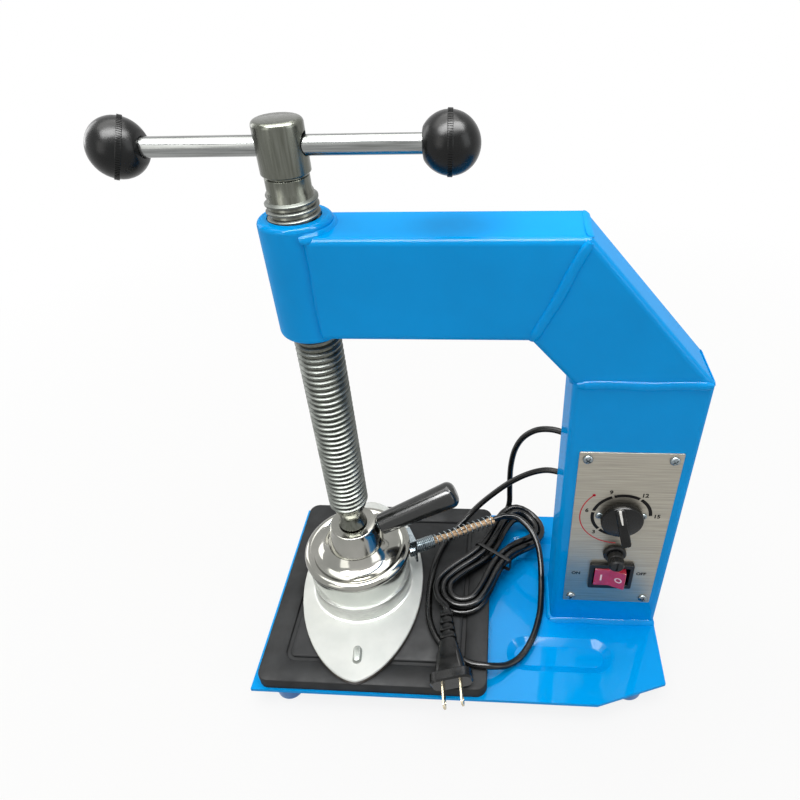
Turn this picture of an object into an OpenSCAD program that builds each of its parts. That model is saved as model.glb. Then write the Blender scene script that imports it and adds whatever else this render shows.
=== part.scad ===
// Tire vulcanizer: a welded C-frame press whose screw lowers an electric heating head onto a rubber pad.
// Millimetres, +Z up, front towards -Y. The origin is under the middle of the object's box, on the floor.

/* [Frame tubes] */
// Depth of all three tubes, front to back
tube_d = 40; // [36:1:50]
// Height of the arm tube
arm_h = 60; // [50:1:64]
// Width of the column tube
col_w = 80; // [74:1:100]
// Wall of the tubes
tube_wall = 3; // [2:0.5:4]
// Outside corner radius of the tubes
tube_r = 4; // [3:0.5:6]
// Screw axis to the column's inner face
throat = 150; // [145:1:190]
// Clear height from the base plate to the arm
daylight = 256; // [252:1:300]
// Length of the column above the base plate
col_h = 228; // [222:1:236]
// How far the nut boss stands above the arm
boss_up = 5; // [3:0.5:8]
// How far the nut boss stands below the arm
boss_down = 3; // [2:0.5:6]
// Leg of the weld beads
weld_leg = 4; // [2:0.5:5]

/* [Base] */
// Length of the base plate
base_l = 300; // [292:1:330]
// Depth of the base plate
base_d = 175; // [172:1:200]
// Thickness of the base plate
base_t = 3; // [2:0.5:4]
// Height of the feet
foot_h = 15; // [12:1:25]
// Diameter of the feet
foot_dia = 20; // [16:1:24]
// Foot centre from the plate's ends
foot_in_x = 25; // [18:1:35]
// Foot centre from the plate's long sides, left pair
foot_in_left = 11; // [11:1:20]
// Foot centre from the plate's long sides, right pair
foot_in_right = 22; // [20:1:30]
// Corner cut along the plate's length
cut_x = 50; // [30:1:60]
// Corner cut along the plate's depth
cut_y = 18; // [10:1:25]
// Width of the pressed beads
bead_w = 28; // [20:1:34]
// Depth of the pressed beads
bead_deep = 3; // [2:0.5:5]
// Bead axis from the plate's middle line
bead_y = 50; // [42:1:55]
// Length of the bead's straight part
bead_run = 50; // [30:1:60]
// End of the beads from the plate's right edge
bead_in = 36; // [30:1:45]

/* [Pad] */
// Length of the rubber pad
pad_l = 167; // [150:1:170]
// Depth of the rubber pad
pad_d = 172; // [150:1:172]
// Thickness of the rubber pad
pad_t = 10; // [6:1:14]
// Plate edge to the pad's left edge
pad_in = 5; // [2:1:10]
// Corner radius of the pad
pad_r = 8; // [4:1:12]
// Width of the pad's rim outside its groove
pad_rim = 17; // [12:1:24]
// Width of the pad's groove
pad_groove = 3; // [2:0.5:5]
// Depth of the pad's groove
pad_groove_deep = 2; // [1:0.5:4]

/* [Screw] */
// Outside diameter of the thread
thread_d = 28; // [24:1:32]
// Thread pitch, which is the lift for each turn
pitch = 4; // [3:0.5:6]
// Depth of the thread
thread_deep = 1.8; // [1.2:0.1:2.4]
// Thread left above the boss at rest
thread_above = 14; // [10:1:20]
// Diameter of the turned neck above the thread
collar_d = 23; // [20:0.5:24]
// Length of the turned neck
collar_l = 8; // [4:1:12]
// Diameter of the screw head
head_d = 25.5; // [22:0.5:28]
// Length of the screw head
head_l = 26; // [22:1:36]
// Bar hole centre below the head's top
bar_drop = 12; // [10:0.5:14]
// Diameter of the bar hole
bar_hole_d = 11.6; // [11:0.1:13]
// Diameter of the tommy bar
bar_d = 10; // [8:0.5:10.5]
// Distance between the ball knobs' centres
ball_span = 166; // [140:1:200]
// Diameter of the ball knobs
ball_d = 30; // [26:1:36]
// Diameter of the plain neck below the thread
neck_d = 17; // [14:0.5:18]
// Diameter of the screw's pilot end
pilot_d = 19; // [18:0.2:20]
// Pilot length inside the cup
pilot_l = 12; // [10:1:14]
// Length of the neck that shows above the cup
neck_l = 20; // [12:1:24]
// Running clearance round the screw
run_gap = 0.4; // [0.3:0.05:0.6]

/* [Heater] */
// Clearance of the heating plate above the pad at rest
seat_gap = 0.3; // [0.2:0.05:0.5]
// How far the leaf-shaped plate's tips pass the pad's edges
leaf_over = 1; // [0:0.5:3]
// Half width of the leaf-shaped plate
leaf_w = 48; // [46:1:54]
// Turn of the leaf from the frame's depth direction
leaf_turn = 6; // [0:1:10]
// Thickness of the plate
leaf_t = 5; // [4:0.5:8]
// Outside diameter of the casting's collar and the skirt
skirt_d = 77; // [72:1:80]
// Height of the casting's collar
collar_h = 14; // [10:1:18]
// Wall of the casting's collar
collar_wall = 6; // [4:0.5:8]
// Height of the chrome skirt
skirt_h = 24; // [20:1:30]
// Wall of the chrome skirt
skirt_wall = 1; // [0.8:0.1:1.5]
// Outside diameter of the cap's rolled rim
rim_d = 81; // [80.5:0.5:84]
// Height of the cap's rolled rim
rim_h = 8; // [6:0.5:10]
// Rise of the cap from its rim to the cup
cap_rise = 6; // [4:0.5:9]
// Wall of the cap
cap_wall = 1.2; // [1:0.1:2]
// Diameter of the pivot cup's foot
cup_foot_d = 42; // [38:1:46]
// Diameter of the pivot cup's top
cup_top_d = 34; // [30:1:36]
// Height of the pivot cup above the cap
cup_h = 19; // [17:1:24]
// Diameter of the post under the cup
post_d = 24; // [22:1:26]
// Thickness of the thrust washer
washer_t = 2; // [1.5:0.5:3]
// Height of the grip's axis above the cap's rim
grip_up = 10.5; // [10.5:0.5:13]
// Direction of the grip, seen from above
grip_turn = 15; // [12:1:26]
// Upward tilt of the grip
grip_tilt = 19.5; // [14:0.5:20]
// Length of the grip
grip_l = 63; // [50:1:70]
// Diameter of the grip at the cup
grip_near_d = 16; // [14:0.5:16]
// Diameter of the grip at its end
grip_far_d = 20.5; // [18:0.5:22]
// Diameter of the steel stem in the grip
stem_d = 6; // [5:0.5:8]
// Direction of the lead, seen from above
lead_turn = 27; // [24:1:30]
// Height of the lead's axis above the plate
lead_up = 17; // [16:0.5:18]
// Outside diameter of the lead nipple
nipple_d = 11; // [10:0.5:12]
// Length of the nipple outside the bracket
nipple_l = 17; // [12:1:20]
// Outside diameter of the lead spring
spring_d = 10; // [9:0.5:10.5]
// Wire diameter of the lead spring
spring_wire = 1; // [0.8:0.1:1.2]
// Number of the spring's turns
spring_turns = 12; // [8:1:14]
// Spacing of the spring's turns
spring_pitch = 4.4; // [3.5:0.1:4.6]

/* [Controls] */
// Width of the front panel
panel_w = 64; // [60:1:66]
// Height of the front panel
panel_h = 150; // [140:1:156]
// Thickness of the front panel
panel_t = 1; // [0.8:0.1:1.5]
// Front panel's lower edge above the base plate
panel_up = 27.5; // [22:0.5:32]
// Panel screws from the panel's edges
panel_screw_in = 5.5; // [4.5:0.5:7]
// Timer knob's axis above the panel's lower edge
dial_up = 94; // [88:0.5:96]
// Diameter of the timer knob's disc
knob_d = 28; // [24:1:30]
// Thickness of the timer knob's disc
knob_t = 5; // [4:0.5:7]
// Knob's full height above the panel
knob_h = 17; // [14:1:20]
// Knob's height above the panel at the pointing end of its finger bar
knob_low = 8; // [7.5:0.5:9]
// Knob's turn from upright at rest, towards the lower numbers
knob_turn = 14; // [0:1:40]
// Width of the knob's finger bar
knob_bar = 6; // [5:0.5:8]
// Diameter of the timer's shaft
shaft_d = 6; // [5:0.5:7]
// Timer screws from the timer's axis
timer_screw_x = 14.5; // [14.5:0.5:16]
// Fuse holder's axis above the panel's lower edge
fuse_up = 56.5; // [56:0.5:60]
// Diameter of the fuse holder's collar
fuse_collar_d = 16; // [14:0.5:18]
// Diameter of the fuse holder's barrel
fuse_barrel_d = 12; // [11.5:0.5:13]
// Rocker's middle above the panel's lower edge
rocker_up = 32; // [28:0.5:33]
// Width of the rocker switch bezel
bezel_w = 31; // [29:0.5:34]
// Height of the rocker switch bezel
bezel_h = 26; // [24:0.5:27]
// Width of the rocker
rocker_w = 22; // [20:0.5:24]
// Height of the rocker
rocker_h = 18; // [16:0.5:19]
// Angle of the rocker either side of its middle
rocker_tilt = 11; // [8:1:12]
// Clearance of the moving controls
control_gap = 0.4; // [0.3:0.05:0.5]

/* [Cords] */
// Diameter of both cords
cord_d = 5; // [4:0.5:5]
// Number of the hank's loops, two layers in all
hank_loops = 4; // [4:2:4]
// Half length of the hank's straight runs
hank_half = 42; // [38:1:44]
// Tightest bend of the hank's loops
hank_bend = 10; // [10:0.5:12]
// Gland's height above the base plate, mains cord
mains_up = 114; // [110:1:118]
// Gland's height above the base plate, heater lead
lead_exit_up = 74; // [70:1:78]
// Glands from the column's inner face
gland_in = 22; // [20:1:30]

/* [Hidden] */
$fn = 64;
small_fn = 32;
big = 1000;
touch = 0.1;

// Heights and places in the screw's own frame: the screw axis is at X 0, Y 0
base_top = foot_h + base_t;
col_x1 = throat + col_w;
col_mid = throat + col_w / 2;
base_x0 = col_x1 - base_l;
arm_z0 = base_top + daylight;
arm_z1 = arm_z0 + arm_h;
col_z1 = base_top + col_h;
elbow_a = asin(arm_h / col_w);
mitre_in_x = throat - (arm_z0 - col_z1) / tan(elbow_a);
mitre_mid_x = mitre_in_x + arm_h / 2 * tan(elbow_a / 2);
arm_x0 = tube_d / 4;
boss_r = tube_d / 2;
boss_z0 = arm_z0 - boss_down;
boss_z1 = arm_z1 + boss_up;
boss_round = 3;
bead_x = col_x1 - bead_in - bead_w / 2 - bead_run;
ball_reach = ball_span / 2 + ball_d / 2;
mid_x = (col_x1 - ball_reach) / 2;

pad_z = base_top + pad_t;
pad_x0 = base_x0 + pad_in;
pad_x1 = pad_x0 + pad_l;

leaf_l = pad_d / 2 + leaf_over;
leaf_z0 = pad_z + seat_gap;
leaf_z1 = leaf_z0 + leaf_t;
collar_z1 = leaf_z1 + collar_h;
skirt_z1 = collar_z1 + skirt_h;
skirt_r = skirt_d / 2;
rim_r = rim_d / 2;
rim_lip = 2;
rim_round = 4;
rim_z0 = skirt_z1 - rim_lip;
rim_z1 = rim_z0 + rim_h;
cap_top = rim_z1 + cap_rise;
cup_top = cap_top + cup_h;
mica_t = 0.5;
element_t = 3;
clamp_t = 4;
clamp_z0 = leaf_z1 + 2 * mica_t + element_t;
clamp_z1 = clamp_z0 + clamp_t;
cavity_r = skirt_r - collar_wall;
clamp_r = cavity_r - 2;
clamp_screw_r = post_d / 2 + 8;
clamp_screw_d = 5;
thermostat_d = 12;
thermostat_h = 6;

pilot_r = pilot_d / 2;
socket_r = pilot_r + run_gap;
pilot_z0 = cup_top - pilot_l;
washer_z0 = pilot_z0 - washer_t;
groove_z = pilot_z0 + pilot_l / 2;
groove_w = 4;
groove_r = pilot_r - 2;
grub_d = 5;
grub_tip_d = 2.4;
grub_turn = lead_turn + 90;
thread_z0 = cup_top + neck_l;
thread_z1 = boss_z1 + thread_above;
thread_r = thread_d / 2;
root_r = thread_r - thread_deep;
head_z0 = thread_z1 + collar_l;
head_z1 = head_z0 + head_l;
head_chamfer = 2;
bar_hole_z = head_z1 - bar_drop;
bar_play = (bar_hole_d - bar_d) / 2 - 0.05;
bar_z = bar_hole_z - bar_play;
ball_flat = 2;

grip_z = rim_z1 + grip_up;
grip_r0 = cup_foot_d / 2;
stem_in = 6;
stem_reach = 0.78;
stem_l = stem_in + stem_reach * grip_l;
lead_z = leaf_z1 + lead_up;
bracket_r = skirt_r + 5;
bracket_t = 1.5;
bracket_w = 16;
nipple_x0 = bracket_r + bracket_t;
nipple_x1 = nipple_x0 + nipple_l;
nipple_shank_d = 8;
spring_r = (spring_d - spring_wire) / 2;
spring_x1 = nipple_x1 + spring_turns * spring_pitch + 2 * spring_wire;
wire_d = 3;

panel_y = -tube_d / 2;
panel_front = panel_y - panel_t;
panel_x0 = col_mid - panel_w / 2;
panel_z0 = base_top + panel_up;
window_w = 50;
window_edge = 11;
dial_z = panel_z0 + dial_up;
fuse_z = panel_z0 + fuse_up;
rocker_z = panel_z0 + rocker_up;
timer_w = 42;
timer_h = 46;
timer_deep = 26;
screw_head_d = 6.5;
screw_head_t = 2;
screw_d = 3;
timer_head_d = 5;
timer_head_t = 1.4;
knob_back = panel_front - timer_head_t - control_gap;
shaft_into = knob_t - 1;
fuse_collar_t = 3;
fuse_bore_d = fuse_barrel_d - 3;
fuse_stem_d = fuse_bore_d - 2 * control_gap;
fuse_cap_l = 10;
fuse_deep = 26;
glass_d = 5;
glass_l = 20;
bezel_t = 2.5;
switch_wall = 1.6;
switch_deep = 20;
rocker_in = 7;
rocker_open = rocker_w + 4;
pivot_y = panel_front + 2;

gland_l = 25;
gland_d = 16;
gland_tip_d = 9;
gland_in_l = 4;
gland_y = tube_d / 2;
gland_x = throat + gland_in;
mains_z = base_top + mains_up;
lead_exit_z = base_top + lead_exit_up;

// Shared helpers

module at_origin() {
    translate([-mid_x, 0, 0]) children();
}

module rounded_rect(w, d, r) {
    square([w - 2 * r, d], center = true);
    square([w, d - 2 * r], center = true);
    for (x = [-1, 1], y = [-1, 1])
        translate([x * (w / 2 - r), y * (d / 2 - r)]) circle(r, $fn = small_fn);
}

module tube_section(w) {
    difference() {
        rounded_rect(w, tube_d, tube_r);
        rounded_rect(w - 2 * tube_wall, tube_d - 2 * tube_wall, max(tube_r - tube_wall, 0.5));
    }
}

// Everything on one side of the mitre between arm and elbow: side is -1 for the arm, 1 for the elbow
module mitre_side(side) {
    translate([mitre_mid_x, 0, arm_z0 + arm_h / 2])
        rotate([0, elbow_a / 2, 0])
            translate([side * big / 2, 0, 0]) cube(big, center = true);
}

// Cylinder along the depth, from y0 towards the back
module along_y(d, y0, l) {
    translate([0, y0, 0]) rotate([-90, 0, 0]) cylinder(d = d, h = l, $fn = small_fn);
}

// Children drawn along +X are turned to a direction seen from above, at a height
module aimed(turn, z) {
    translate([0, 0, z]) rotate([0, 0, turn]) children();
}

module lathe() {
    rotate_extrude() children();
}

function arc(cx, cy, r, a0, a1, n) =
    [for (i = [0:n]) [cx + r * cos(a0 + (a1 - a0) * i / n), cy + r * sin(a0 + (a1 - a0) * i / n)]];

// Points of a smooth curve through the route, steps rings for each stretch
function bend(p0, p1, p2, p3, t) =
    0.5 * (2 * p1 + (p2 - p0) * t + (2 * p0 - 5 * p1 + 4 * p2 - p3) * t * t
        + (3 * p1 - p0 - 3 * p2 + p3) * t * t * t);
function smooth_route(p, steps) = let (n = len(p) - 1)
    [for (i = [0:n - 1], s = [0:steps - 1])
        bend(p[max(i - 1, 0)], p[i], p[i + 1], p[min(i + 2, n)], s / steps),
     p[n]];

function unit(v) = v / norm(v);
function tangent(p, i) = unit(p[min(i + 1, len(p) - 1)] - p[max(i - 1, 0)]);
function across(n, t) = unit(n - (n * t) * t);
function side_of(t) = across(abs(t.z) < 0.9 ? [0, 0, 1] : [1, 0, 0], t);
function frames(p, i = 0, last = undef) = i == len(p) ? [] :
    let (n = is_undef(last) ? side_of(tangent(p, 0)) : across(last, tangent(p, i)))
    concat([n], frames(p, i + 1, n));

// One closed tube swept along points
module swept_tube(p, r, sides) {
    n = frames(p);
    rings = [for (i = [0:len(p) - 1], s = [0:sides - 1])
        let (t = tangent(p, i), a = 360 * s / sides)
        p[i] + r * (cos(a) * n[i] + sin(a) * cross(t, n[i]))];
    last = (len(p) - 1) * sides;
    skin = [for (i = [0:len(p) - 2], s = [0:sides - 1])
        let (a = i * sides + s, b = i * sides + (s + 1) % sides)
        each [[a, a + sides, b], [b, a + sides, b + sides]]];
    ends = [for (s = [1:sides - 2]) each [[0, s, s + 1], [last, last + s + 1, last + s]]];
    polyhedron(rings, concat(skin, ends), convexity = 10);
}

// Least distance between a tube's surfaces, leaving out neighbours along the tube
function to_line(q, a, b) = let (t = max(0, min(1, (q - a) * (b - a) / ((b - a) * (b - a)))))
    norm(q - a - t * (b - a));
function self_gap(p, d, apart) =
    min([for (i = [0:len(p) - 1 - apart], j = [i + apart:len(p) - 2]) to_line(p[i], p[j], p[j + 1])]) - d;

// Cord routes and the hank's loops, in the screw's frame
lead_gap = 0.3;
lead_dir = [cos(lead_turn), sin(lead_turn), 0];
lead_end = (spring_x1 + lead_gap) * lead_dir + [0, 0, lead_z];
on_pad = pad_z + cord_d / 2 + 0.1;
on_base = base_top + cord_d / 2 + 0.1;
lead_route = [lead_end, lead_end + 4 * lead_dir, [114, 58, 49.6], [125, 58.5, 47], [135, 51, 42.5],
    [141.5, 39, 36.5], [144, 26, 28.5], [144.2, 13, 22.4], [143.5, -2, on_base], [141.5, -19, on_base],
    [136, -38, on_base], [127, -54, on_base], [117, -63, 23], [108, -67.5, 28], [99, -69, 31],
    [88, -67, on_pad], [75, -60, on_pad], [64, -49, on_pad], [57, -34, on_pad], [54.5, -16, on_pad],
    [54.5, 4, on_pad], [57, 24, on_pad], [62, 41, on_pad], [70, 57, on_pad], [80, 68.5, 34.5],
    [91, 75.5, 43.5], [104, 78.5, 56], [118, 79, 69.5], [133, 77, 82], [146.5, 74, 89.5],
    [157.5, 70, lead_exit_z - 0.5], [165.5, 64.5, lead_exit_z], [170.5, 57, lead_exit_z],
    [gland_x, 50, lead_exit_z], [gland_x, gland_y + gland_l, lead_exit_z]];

hank_step = cord_d + 0.5;
layer_step = cord_d + 1;
tie_t = 0.8;
tie_w = 3;
hank_z = pad_z + tie_t + 0.4 + cord_d / 2;
hank_mid = [104.5, 27];
hank_turn = 236;
hank_waist = 2.7;
waist_step = cord_d + 0.7;
layer_loops = hank_loops / 2;
loop_rings = 24;
drop_x = pad_x1 + 17;
drop_run = 30;

// Rings out of the hank's innermost loop, counted in loops, and its layer from 0 to 1
function hank_out(t) = max(layer_loops - t, t - layer_loops - 0.25, 0);
function hank_layer(t) = max(0, min(1, (t - layer_loops) * 4));
function hank_side(u, out) = let (r = hank_bend + out * hank_step, w = hank_waist + out * waist_step)
    w + (r - w) * (1 - cos(180 * u / hank_half)) / 2;
// Place in the hank's own plane of ring k of 24, out rings from the innermost loop
function hank_flat(k, out) = let (r = hank_bend + out * hank_step, run = loop_rings / 4)
    k <= run ? [hank_half * (2 * k / run - 1), hank_side(hank_half * (2 * k / run - 1), out)] :
    k < 2 * run ? [hank_half + r * sin(180 * (k - run) / run), r * cos(180 * (k - run) / run)] :
    k <= 3 * run ? [hank_half * (5 - 2 * k / run), -hank_side(hank_half * (5 - 2 * k / run), out)] :
    [-hank_half - r * sin(180 * (k - 3 * run) / run), -r * cos(180 * (k - 3 * run) / run)];
function eased(t) = let (s = max(0, min(1, t))) s * s * (3 - 2 * s);
function hank_point(i) = let (t = i / loop_rings, q = hank_flat(i % loop_rings, hank_out(t)),
    x = hank_mid.x + q.x * cos(hank_turn) + q.y * sin(hank_turn),
    y = hank_mid.y + q.x * sin(hank_turn) - q.y * cos(hank_turn))
    [x, y, hank_z + hank_layer(t) * layer_step - pad_t * eased((x - drop_x) / drop_run)];
hank_end = (hank_loops + 0.25) * loop_rings;
hank_start_dir = [cos(hank_turn), sin(hank_turn), 0];
hank_start = hank_point(0) - hank_start_dir * cord_d;
plug_neck = [70, -33, 41];
plug_face = [78, -88, 38.2];
plug_dir = unit(plug_face - plug_neck);
tail_z = hank_z + layer_step;
tail = [[60.4, -2.5, tail_z], [60.1, -11, tail_z + 0.9], [63.4, -20.6, tail_z + 2.2],
    plug_neck - cord_d * plug_dir, plug_neck];
hank_points = concat([hank_start], [for (i = [0:hank_end]) hank_point(i)], smooth_route(tail, 3));

mains_route = [[gland_x, gland_y + gland_l, mains_z], [gland_x, 50, mains_z], [170.5, 57.5, mains_z],
    [165.5, 65.5, mains_z + 0.5], [157.5, 72, mains_z + 1], [147.5, 76.5, mains_z], [137, 80, 127.5],
    [127.5, 83, 117], [121.5, 85.5, 102], [118.6, 87, 84], [117.8, 87.5, 66], [117.9, 86.6, 51],
    [118, 85.4, 41], [hank_start.x + 3.4, hank_start.y + 5.2, hank_start.z + 2.3], hank_start];

echo(hank_least_gap = self_gap(hank_points, cord_d, 7));

// Frame

function base_outline() = [[base_x0, -base_d / 2], [col_x1 - cut_x, -base_d / 2],
    [col_x1, -base_d / 2 + cut_y], [col_x1, base_d / 2 - cut_y], [col_x1 - cut_x, base_d / 2],
    [base_x0, base_d / 2]];

// Trough with round ends and sloping sides, its mouth at z 0
module trough(mouth_r, deep) {
    floor_r = mouth_r - 2 * deep;
    for (x = [0, bead_run])
        translate([x, 0, -deep]) cylinder(r1 = floor_r, r2 = mouth_r, h = deep);
    rotate([90, 0, 90])
        linear_extrude(bead_run)
            polygon([[-mouth_r, 0], [-floor_r, -deep], [floor_r, -deep], [mouth_r, 0]]);
}

module base_plate() {
    color([0.05, 0.5, 0.82]) at_origin() difference() {
        union() {
            translate([0, 0, foot_h]) linear_extrude(base_t) polygon(base_outline());
            for (y = [-bead_y, bead_y])
                translate([bead_x, y, foot_h + touch]) trough(bead_w / 2, bead_deep + touch);
        }
        for (y = [-bead_y, bead_y])
            translate([bead_x, y, base_top]) trough(bead_w / 2, bead_deep);
    }
}

module feet() {
    foot_r = foot_dia / 2;
    foot_round = foot_r / 2;
    profile = concat([[0, foot_h], [0, 0]], arc(foot_r - foot_round, foot_round, foot_round, -90, 0, 6),
        [[foot_r, foot_h]]);
    color([0.1, 0.35, 0.62]) at_origin() for (s = [-1, 1]) {
        translate([base_x0 + foot_in_x, s * (base_d / 2 - foot_in_left), 0]) lathe() polygon(profile);
        translate([col_x1 - foot_in_x, s * (base_d / 2 - foot_in_right), 0]) lathe() polygon(profile);
    }
}

module rubber_pad() {
    inner_w = pad_l - 2 * pad_rim;
    inner_d = pad_d - 2 * pad_rim;
    color([0.13, 0.13, 0.14]) at_origin() translate([pad_x0 + pad_l / 2, 0, base_top]) difference() {
        linear_extrude(pad_t) rounded_rect(pad_l, pad_d, pad_r);
        translate([0, 0, pad_t - pad_groove_deep]) linear_extrude(pad_t) difference() {
            rounded_rect(inner_w, inner_d, pad_r);
            rounded_rect(inner_w - 2 * pad_groove, inner_d - 2 * pad_groove, pad_r - pad_groove);
        }
    }
}

module column() {
    color([0.05, 0.5, 0.82]) at_origin() difference() {
        translate([col_mid, 0, base_top]) linear_extrude(col_h) tube_section(col_w);
        translate([col_mid - window_w / 2, panel_y - 1, panel_z0 + window_edge])
            cube([window_w, tube_wall + 2, panel_h - 2 * window_edge]);
        panel_screw_places() along_y(screw_d, panel_y - 1, tube_wall + 2);
        for (z = [mains_z, lead_exit_z])
            translate([gland_x, 0, z]) along_y(gland_tip_d, gland_y - tube_wall - 1, tube_wall + 2);
    }
}

module elbow() {
    color([0.05, 0.5, 0.82]) at_origin() intersection() {
        translate([col_mid, 0, col_z1]) rotate([0, elbow_a - 90, 0])
            translate([0, 0, -col_w]) linear_extrude(4 * col_w) tube_section(arm_h);
        translate([-big / 2, -big / 2, col_z1]) cube(big);
        mitre_side(1);
    }
}

module arm_bar() {
    translate([arm_x0, 0, arm_z0 + arm_h / 2]) rotate([90, 0, 90])
        linear_extrude(throat + col_w) rotate(90) children();
}

module arm() {
    color([0.05, 0.5, 0.82]) at_origin() difference() {
        intersection() {
            arm_bar() tube_section(arm_h);
            mitre_side(-1);
        }
        cylinder(r = boss_r, h = big);
    }
}

module nut_boss() {
    bore_r = thread_r + run_gap;
    profile = concat([[bore_r, boss_z0]],
        arc(boss_r - boss_round, boss_z0 + boss_round, boss_round, -90, 0, 6),
        arc(boss_r - boss_round, boss_z1 - boss_round, boss_round, 0, 90, 6), [[bore_r, boss_z1]]);
    color([0.05, 0.5, 0.82]) at_origin() lathe() polygon(profile);
}

// Frame outside surfaces that the weld beads sit against
module frame_outside() {
    arm_bar() rounded_rect(arm_h, tube_d, tube_r);
    translate([col_mid, 0, col_z1]) rotate([0, elbow_a - 90, 0])
        translate([0, 0, -col_w]) linear_extrude(3 * col_w) rounded_rect(arm_h, tube_d, tube_r);
    translate([col_mid, 0, base_top]) linear_extrude(col_h) rounded_rect(col_w, tube_d, tube_r);
    translate([0, 0, boss_z0]) cylinder(r = boss_r + touch / 2, h = boss_z1 - boss_z0);
}

// Round beads along both depth faces of a joint line through the middle of the tubes
module bead_pair(mid, lean, half) {
    for (s = [-1, 1])
        translate([mid.x, s * tube_d / 2, mid.y]) rotate([0, lean, 0])
            cylinder(d = weld_leg, h = 2 * half, center = true, $fn = small_fn);
}

module weld_beads() {
    mitre_half = arm_h / 2 / cos(elbow_a / 2) - tube_r;
    foot_taper = [col_w / (col_w + 2 * weld_leg), tube_d / (tube_d + 2 * weld_leg)];
    color([0.04, 0.46, 0.78]) at_origin() difference() {
        union() {
            bead_pair([mitre_mid_x, arm_z0 + arm_h / 2], elbow_a / 2, mitre_half);
            bead_pair([col_mid, col_z1], 90, col_w / 2 - tube_r);
            bead_pair([arm_x0, arm_z0 + arm_h / 2], 0, arm_h / 2 - tube_r);
            translate([0, 0, arm_z1]) intersection() {
                cylinder(r1 = boss_r + weld_leg, r2 = boss_r, h = weld_leg);
                translate([0, -boss_r + tube_r, 0]) cube([big, 2 * boss_r - 2 * tube_r, big]);
            }
            translate([col_mid, 0, base_top]) linear_extrude(weld_leg, scale = foot_taper)
                translate([-weld_leg / 2, 0])
                    square([col_w + weld_leg, tube_d + 2 * weld_leg], center = true);
        }
        frame_outside();
    }
}

// Controls on the column

module panel_screw_places() {
    for (x = [panel_x0 + panel_screw_in, panel_x0 + panel_w - panel_screw_in],
         z = [panel_z0 + panel_screw_in, panel_z0 + panel_h - panel_screw_in])
        translate([x, 0, z]) children();
}

module at_dial() {
    translate([col_mid, 0, dial_z]) children();
}

module at_fuse() {
    translate([col_mid, 0, fuse_z]) children();
}

module at_rocker() {
    translate([col_mid, 0, rocker_z]) children();
}

module control_panel() {
    color([0.72, 0.72, 0.7]) at_origin() difference() {
        translate([panel_x0, panel_front, panel_z0]) cube([panel_w, panel_t, panel_h]);
        panel_screw_places() along_y(screw_d, panel_front - 1, panel_t + 2);
        at_dial() along_y(shaft_d + 2 * control_gap, panel_front - 1, panel_t + 2);
        at_dial() for (x = [-1, 1])
            translate([x * timer_screw_x, 0, 0]) along_y(screw_d, panel_front - 1, panel_t + 2);
        at_fuse() along_y(fuse_barrel_d, panel_front - 1, panel_t + 2);
        at_rocker() translate([0, panel_y, 0])
            cube([rocker_open + 2 * switch_wall, 4 * panel_t, rocker_h + 2 * control_gap + 2 * switch_wall],
                center = true);
    }
}

// Pan-head cross-recess screw pointing to the back, head on the face at y 0
module pan_screw(head_d, head_t, d, l) {
    slot = head_d / 6;
    difference() {
        union() {
            rotate([90, 0, 0]) lathe() intersection() {
                translate([0, head_t - head_d]) circle(head_d);
                square([head_d / 2, head_t]);
            }
            along_y(d, -touch, l + touch);
        }
        for (a = [0, 90]) translate([0, -head_t, 0]) rotate([0, a, 0])
            cube([head_d * 0.6, head_t, slot], center = true);
    }
}

module panel_screws() {
    color([0.75, 0.77, 0.8]) at_origin()
        panel_screw_places() translate([0, panel_front, 0])
            pan_screw(screw_head_d, screw_head_t, screw_d, panel_t + tube_wall + 4);
}

module timer_body() {
    color([0.2, 0.2, 0.22]) at_origin() at_dial() difference() {
        translate([-timer_w / 2, panel_y, -timer_h / 2]) cube([timer_w, timer_deep, timer_h]);
        along_y(shaft_d + 2 * control_gap, panel_y - 1, timer_deep / 2 + 1);
        for (x = [-1, 1])
            translate([x * timer_screw_x, 0, 0]) along_y(screw_d, panel_y - 1, 8);
    }
}

module timer_screws() {
    color([0.75, 0.77, 0.8]) at_origin() at_dial() for (x = [-1, 1])
        translate([x * timer_screw_x, panel_front, 0])
            pan_screw(timer_head_d, timer_head_t, screw_d, panel_t + 5);
}

module timer_shaft() {
    color([0.75, 0.77, 0.8]) at_origin() at_dial()
        along_y(shaft_d, knob_back - shaft_into, shaft_into - knob_back + panel_y + timer_deep / 2 - 1);
}

module timer_knob() {
    bar_end = knob_d / 2 - 1;
    color([0.06, 0.06, 0.07]) at_origin() at_dial() difference() {
        union() {
            along_y(knob_d, knob_back - knob_t, knob_t);
            rotate([0, -knob_turn, 0]) translate([-knob_bar / 2, 0, 0]) rotate([90, 0, 90])
                linear_extrude(height = knob_bar) polygon([[knob_back, bar_end], [panel_front - knob_low, bar_end],
                    [panel_front - knob_low - 1, 0], [panel_front - knob_h, -bar_end], [knob_back, -bar_end]]);
        }
        along_y(shaft_d, knob_back - shaft_into, knob_h);
    }
}

module switch_housing() {
    open_h = rocker_h + 2 * control_gap;
    body_w = rocker_open + 2 * switch_wall;
    body_h = open_h + 2 * switch_wall;
    color([0.07, 0.07, 0.08]) at_origin() at_rocker() difference() {
        union() {
            translate([-bezel_w / 2, panel_front - bezel_t, -bezel_h / 2]) cube([bezel_w, bezel_t, bezel_h]);
            translate([-body_w / 2, panel_front - touch, -body_h / 2])
                cube([body_w, switch_deep + touch, body_h]);
        }
        translate([-rocker_open / 2, panel_front - bezel_t - 1, -open_h / 2])
            cube([rocker_open, bezel_t + 1 + switch_deep - switch_wall, open_h]);
        translate([0, pivot_y, 0]) cylinder(d = 2.4, h = body_h - switch_wall, center = true, $fn = small_fn);
    }
}

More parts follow.
